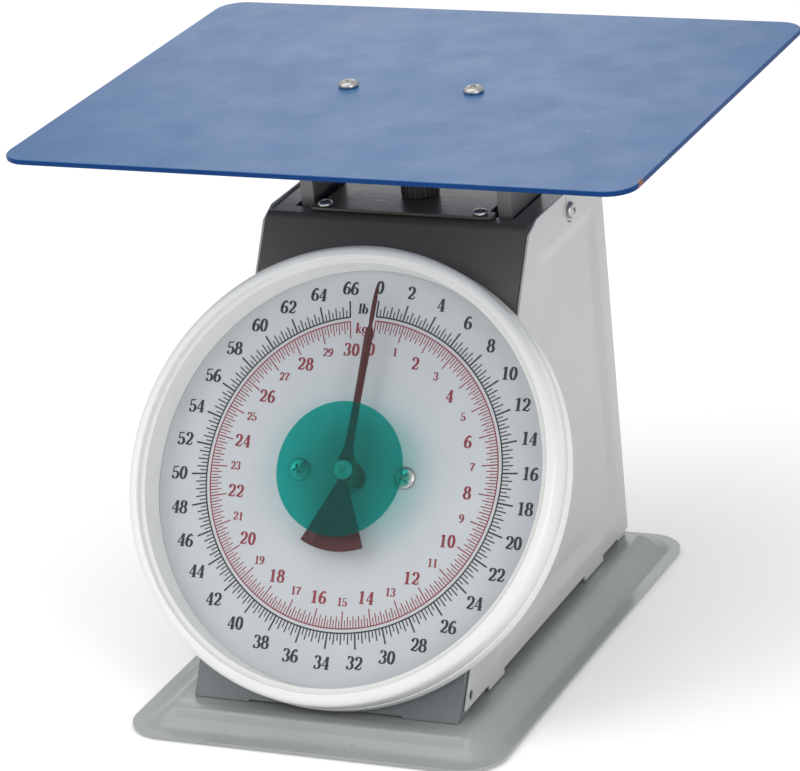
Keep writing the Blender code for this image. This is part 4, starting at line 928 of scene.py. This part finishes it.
# %% Rim
RIM_BACK = -4.3
DROPPED = on_dial(0, -RIM_DROP)
rim_profile = [(101.2, RIM_BACK), *arc((104.9, RIM_BACK + 0.6), 0.6, -90, 0, 3)]
rim_profile += [(105.5, 2.2), (105.3, 2.5), (104.7, 2.6), (104.6, 2.9), (104.7, 3.2), (105.2, 3.4), (105.4, 3.8)]
rim_profile += arc((101.9, 12.4), 3.5, 0, 80, 10)
rim_profile += arc((100.6, 15.4), 0.5, 80, 180, 4)
rim_profile += [(99.75, 13.5), (98.0, 13.5)]
rim_profile += arc((97.9, 12.9), 0.6, 90, 168, 4)
rim_profile += [(96.9, 1.2), (96.5, 0.5), (96.5, 0.3), (101.2, 0.3)]
rim = turned("rim_moulded", rim_profile, DROPPED, 256)
settle(rim, rim_plastic, "housing", "white_plastic", "bezel_ring")

# %% Lens and green disc
lens_profile = [(0, 13.8), (98.9, 13.8), (99.3, 14.0), (99.3, 15.5), (98.9, 15.8), (0, 15.8)]
lens = turned("lens_moulded", lens_profile, DROPPED, 256)
settle(lens, clear_plastic, "housing", "clear_lens", "dial_lens")
film_profile = [(0, 13.1), (30.9, 13.1), (31, 13.2), (31, 13.4), (30.9, 13.5), (0, 13.5)]
DISC_ASIDE = -0.7 * MM
disc = turned("green_disc", film_profile, on_dial(DISC_ASIDE), 128)
settle(disc, green_film, "housing", "green_film", "lens_disc")
print("rim radius 105.5 mm, lens radius 99.3 mm, disc radius 31 mm")

# %% [markdown]
# ## Pointer
# The pointer is punched from thin sheet. Its blade is folded along the middle, which stiffens it and
# puts a bright side and a dark side next to each other, and its counterweight is a plain fan with a
# raised rib. It is built as rows of points across its width, with the middle point lifted.


# %% Blade and counterweight
def lofted_sheet(name, rows, thickness, matrix):
    """A folded sheet from rows of (x, y, z) points in mm, made solid by thickness."""
    bm = bmesh.new()
    grid = []
    for row in rows:
        top = [bm.verts.new((x * MM, y * MM, z * MM)) for x, y, z in row]
        bottom = [bm.verts.new((x * MM, y * MM, (z - thickness) * MM)) for x, y, z in row]
        grid.append(top + bottom[::-1])
    for first, second in zip(grid, grid[1:]):
        for i in range(len(first)):
            j = (i + 1) % len(first)
            bm.faces.new((first[i], first[j], second[j], second[i]))
    bm.faces.new(grid[0])
    bm.faces.new(grid[-1])
    return add_piece(name, bm, matrix, 20)


# Distance from the hub, half width, and how far the fold stands up, all in mm.
BLADE = [(4.4, 4.2, 0.0), (6.2, 3.7, 0.1), (8.5, 2.9, 0.25), (11, 2.3, 0.45), (16, 1.95, 0.6), (31, 1.75, 0.6),
         (45, 1.8, 0.6), (56, 2.0, 0.6), (62, 2.1, 0.5), (65, 1.85, 0.3), (66.6, 0.95, 0.1), (68, 0.85, 0.05),
         (70, 1.05, 0.1), (78, 1.1, 0.15), (84, 0.65, 0.08), (86, 0.25, 0.0)]
SHEET_TOP = 9.3
PAST_TOP = 2.1  # degrees, so that the pointer rests a hair past the zero mark
REST_TURN = Matrix.Rotation(math.radians(-PAST_TOP), 4, "Z")
blade_rows = []
for distance, half_width, fold in BLADE:
    blade_rows.append([(-half_width, distance, SHEET_TOP - fold * 0.4), (0, distance, SHEET_TOP + fold * 0.6),
                       (half_width, distance, SHEET_TOP - fold * 0.4)])
blade = lofted_sheet("pointer_blade", blade_rows, 0.5, on_dial() @ REST_TURN)
settle(blade, pointer_red, "pointer_assembly", "red_enamel", "pointer")

fan_rows = []
for step in range(25):
    angle = math.radians(-90 + 24.6 * (step / 12 - 1))
    row = []
    for radius in (4.3, 12, 22, 30, 35.6, 36.6, 37.1):
        rib = 0.55 * math.exp(-(((step - 5) / 1.3) ** 2)) if 10 < radius < 36 else 0.0
        drop = 0.25 if radius > 37 else 0.0
        row.append((radius * math.cos(angle), radius * math.sin(angle), SHEET_TOP + rib - drop))
    fan_rows.append(row)
fan = lofted_sheet("pointer_counterweight", fan_rows, 0.7, on_dial() @ REST_TURN)
settle(fan, pointer_red, "pointer_assembly", "red_enamel")

collar_profile = [(2.2, 8.55), (4.8, 8.55), *arc((4.7, 9.2), 0.35, -60, 80, 5), (2.2, 9.55)]
collar = turned("pointer_collar", collar_profile, on_dial(), 64)
settle(collar, pointer_red, "pointer_assembly", "red_enamel")
print("pointer length", BLADE[-1][0], "mm")

# %% Hub, nut and bush
hub_profile = [(1.8, 6.5), *arc((4.3, 6.8), 0.3, -90, 0, 3), *arc((4.3, 7.8), 0.3, 0, 90, 3), (1.8, 8.1)]
hub = turned("hub_turned", hub_profile, on_dial(), 64)
settle(hub, brass, "pointer_assembly", "brass", "pointer_hub")
nut_profile = [(1.8, 9.7), (4.1, 9.7), *arc((4.1, 10.0), 0.3, -90, 0, 3), *arc((3.7, 10.5), 0.7, 0, 90, 5)]
nut_profile += [(3.3, 11.2), *arc((2.9, 12.0), 0.4, 0, 90, 4), (1.8, 12.4)]
nut = turned("nut_turned", nut_profile, on_dial(), 64)
settle(nut, bright_zinc, "pointer_assembly", "zinc_steel", "pointer_nut")

# %% [markdown]
# ## Screws
# Every screw that shows is a cross-recessed pan head. The head is a shallow dome with a short
# straight side, and the recess is cut with two tapered bars. One function makes them all.


# %% Pan heads
def pan_head(node, radius, height, shank, matrix, washer=0.0):
    """Replaces a screw node. Sizes in mm. Local z = 0 is under the head, and z points out of it."""
    dome = [(radius * math.cos(t) ** 0.8, height * (0.22 + 0.78 * math.sin(t) ** 0.9)) for t in
            [math.radians(a) for a in range(0, 90, 9)]]
    profile = [(0, -shank), (radius * 0.42, -shank), (radius * 0.42, 0), (radius - 0.15, 0), (radius, 0.15)]
    profile += dome + [(0, height)]
    head = turned(node + "_head", profile, matrix, 48)
    for turn in (0, 90):
        bm = bmesh.new()
        levels = [(height * 0.3, radius * 0.3, radius * 0.07), (height * 1.3, radius * 0.56, radius * 0.13)]
        loops = []
        for level, long, wide in levels:
            corners = [(-long, -wide), (long, -wide), (long, wide), (-long, wide)]
            loops.append([bm.verts.new((x * MM, y * MM, level * MM)) for x, y in corners])
        bm.faces.new(loops[0])
        bm.faces.new(loops[1])
        for i in range(4):
            bm.faces.new((loops[0][i], loops[0][(i + 1) % 4], loops[1][(i + 1) % 4], loops[1][i]))
        turned_seat = matrix @ Matrix.Rotation(math.radians(turn), 4, "Z")
        bar = add_piece(node + "_bar_" + str(turn), bm, turned_seat)
        recess = head.modifiers.new("recess", "BOOLEAN")
        recess.object = bar
        recess.solver = "EXACT"
        bpy.context.view_layer.update()
        with_recess = head.evaluated_get(bpy.context.evaluated_depsgraph_get())
        cut_mesh = bpy.data.meshes.new_from_object(with_recess)
        head.modifiers.clear()
        head.data = cut_mesh
        bpy.data.objects.remove(bar)
    head.data.shade_smooth()
    head.data.set_sharp_from_angle(angle=math.radians(32))
    settle(head, zinc, body_of_node(node), "zinc_steel", node)


def seat_of(node, outward, turn=0.0):
    """A matrix at the underside of a screw's head, with local z along outward."""
    low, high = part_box(node)
    middle = (low + high) / 2
    axis = Vector(outward)
    tip = middle + axis * max(abs((high - low).dot(axis)), 0) / 2
    along_axis = axis.to_track_quat("Z", "Y").to_matrix().to_4x4()
    return Matrix.Translation(tip) @ along_axis @ Matrix.Rotation(math.radians(turn), 4, "Z")


for side, turn in (("left", 12), ("right", -25)):
    seat = seat_of("plate_screw_" + side, (0, 0, 1), turn) @ Matrix.Translation((0, 0, -2.8 * MM))
    pan_head("plate_screw_" + side, 4.7, 2.8, 9.0, seat)
    x = -26.3 * MM if side == "left" else 26.3 * MM
    seat = on_dial(x, 0, 0.3 * MM) @ Matrix.Rotation(math.radians(turn * 2), 4, "Z")
    pan_head("dial_screw_" + side, 5.2, 2.4, 13.0, seat)
    outward = (-1, 0, 0) if side == "left" else (1, 0, 0)
    seat = seat_of("side_screw_" + side, outward, 45) @ Matrix.Translation((0, 0, -2.4 * MM))
    pan_head("side_screw_" + side, 4.0, 2.4, 6.0, seat)
    for row in ("front", "back"):
        node = "cover_screw_" + row + "_" + side
        seat = seat_of(node, (0, 0, 1), turn + 30) @ Matrix.Translation((0, 0, -2.2 * MM))
        pan_head(node, 3.5, 2.2, 6.0, seat)
print("screws: 10")

# %% [markdown]
# ## Finish for the pieces kept as they are
# Pieces whose shape in the frame is already right keep it, and only take on their finish.

# %% Finishes by material slot
finish_by_slot = {
    "blue_paint": plate_blue,
    "grey_paint": base_grey,
    # Kept dark_paint pieces take the same dark grey with painted shade.
    "dark_paint": cap_grey_painted_shade,
    "white_plastic": rim_plastic,
    "dial_print": dial_paper,
    "clear_lens": clear_plastic,
    "green_film": green_film,
    "red_enamel": pointer_red,
    "zinc_steel": zinc,
    "brass": brass,
    "black_plastic": knob_plastic,
    "rubber": foot_rubber,
}
kept = [name for name, node in frame["nodes"].items() if not node.hide_render]
for name in kept:
    frame["nodes"][name].data.materials.clear()
    frame["nodes"][name].data.materials.append(finish_by_slot[slot_of_node(name)])
print("frame pieces kept:", len(kept))
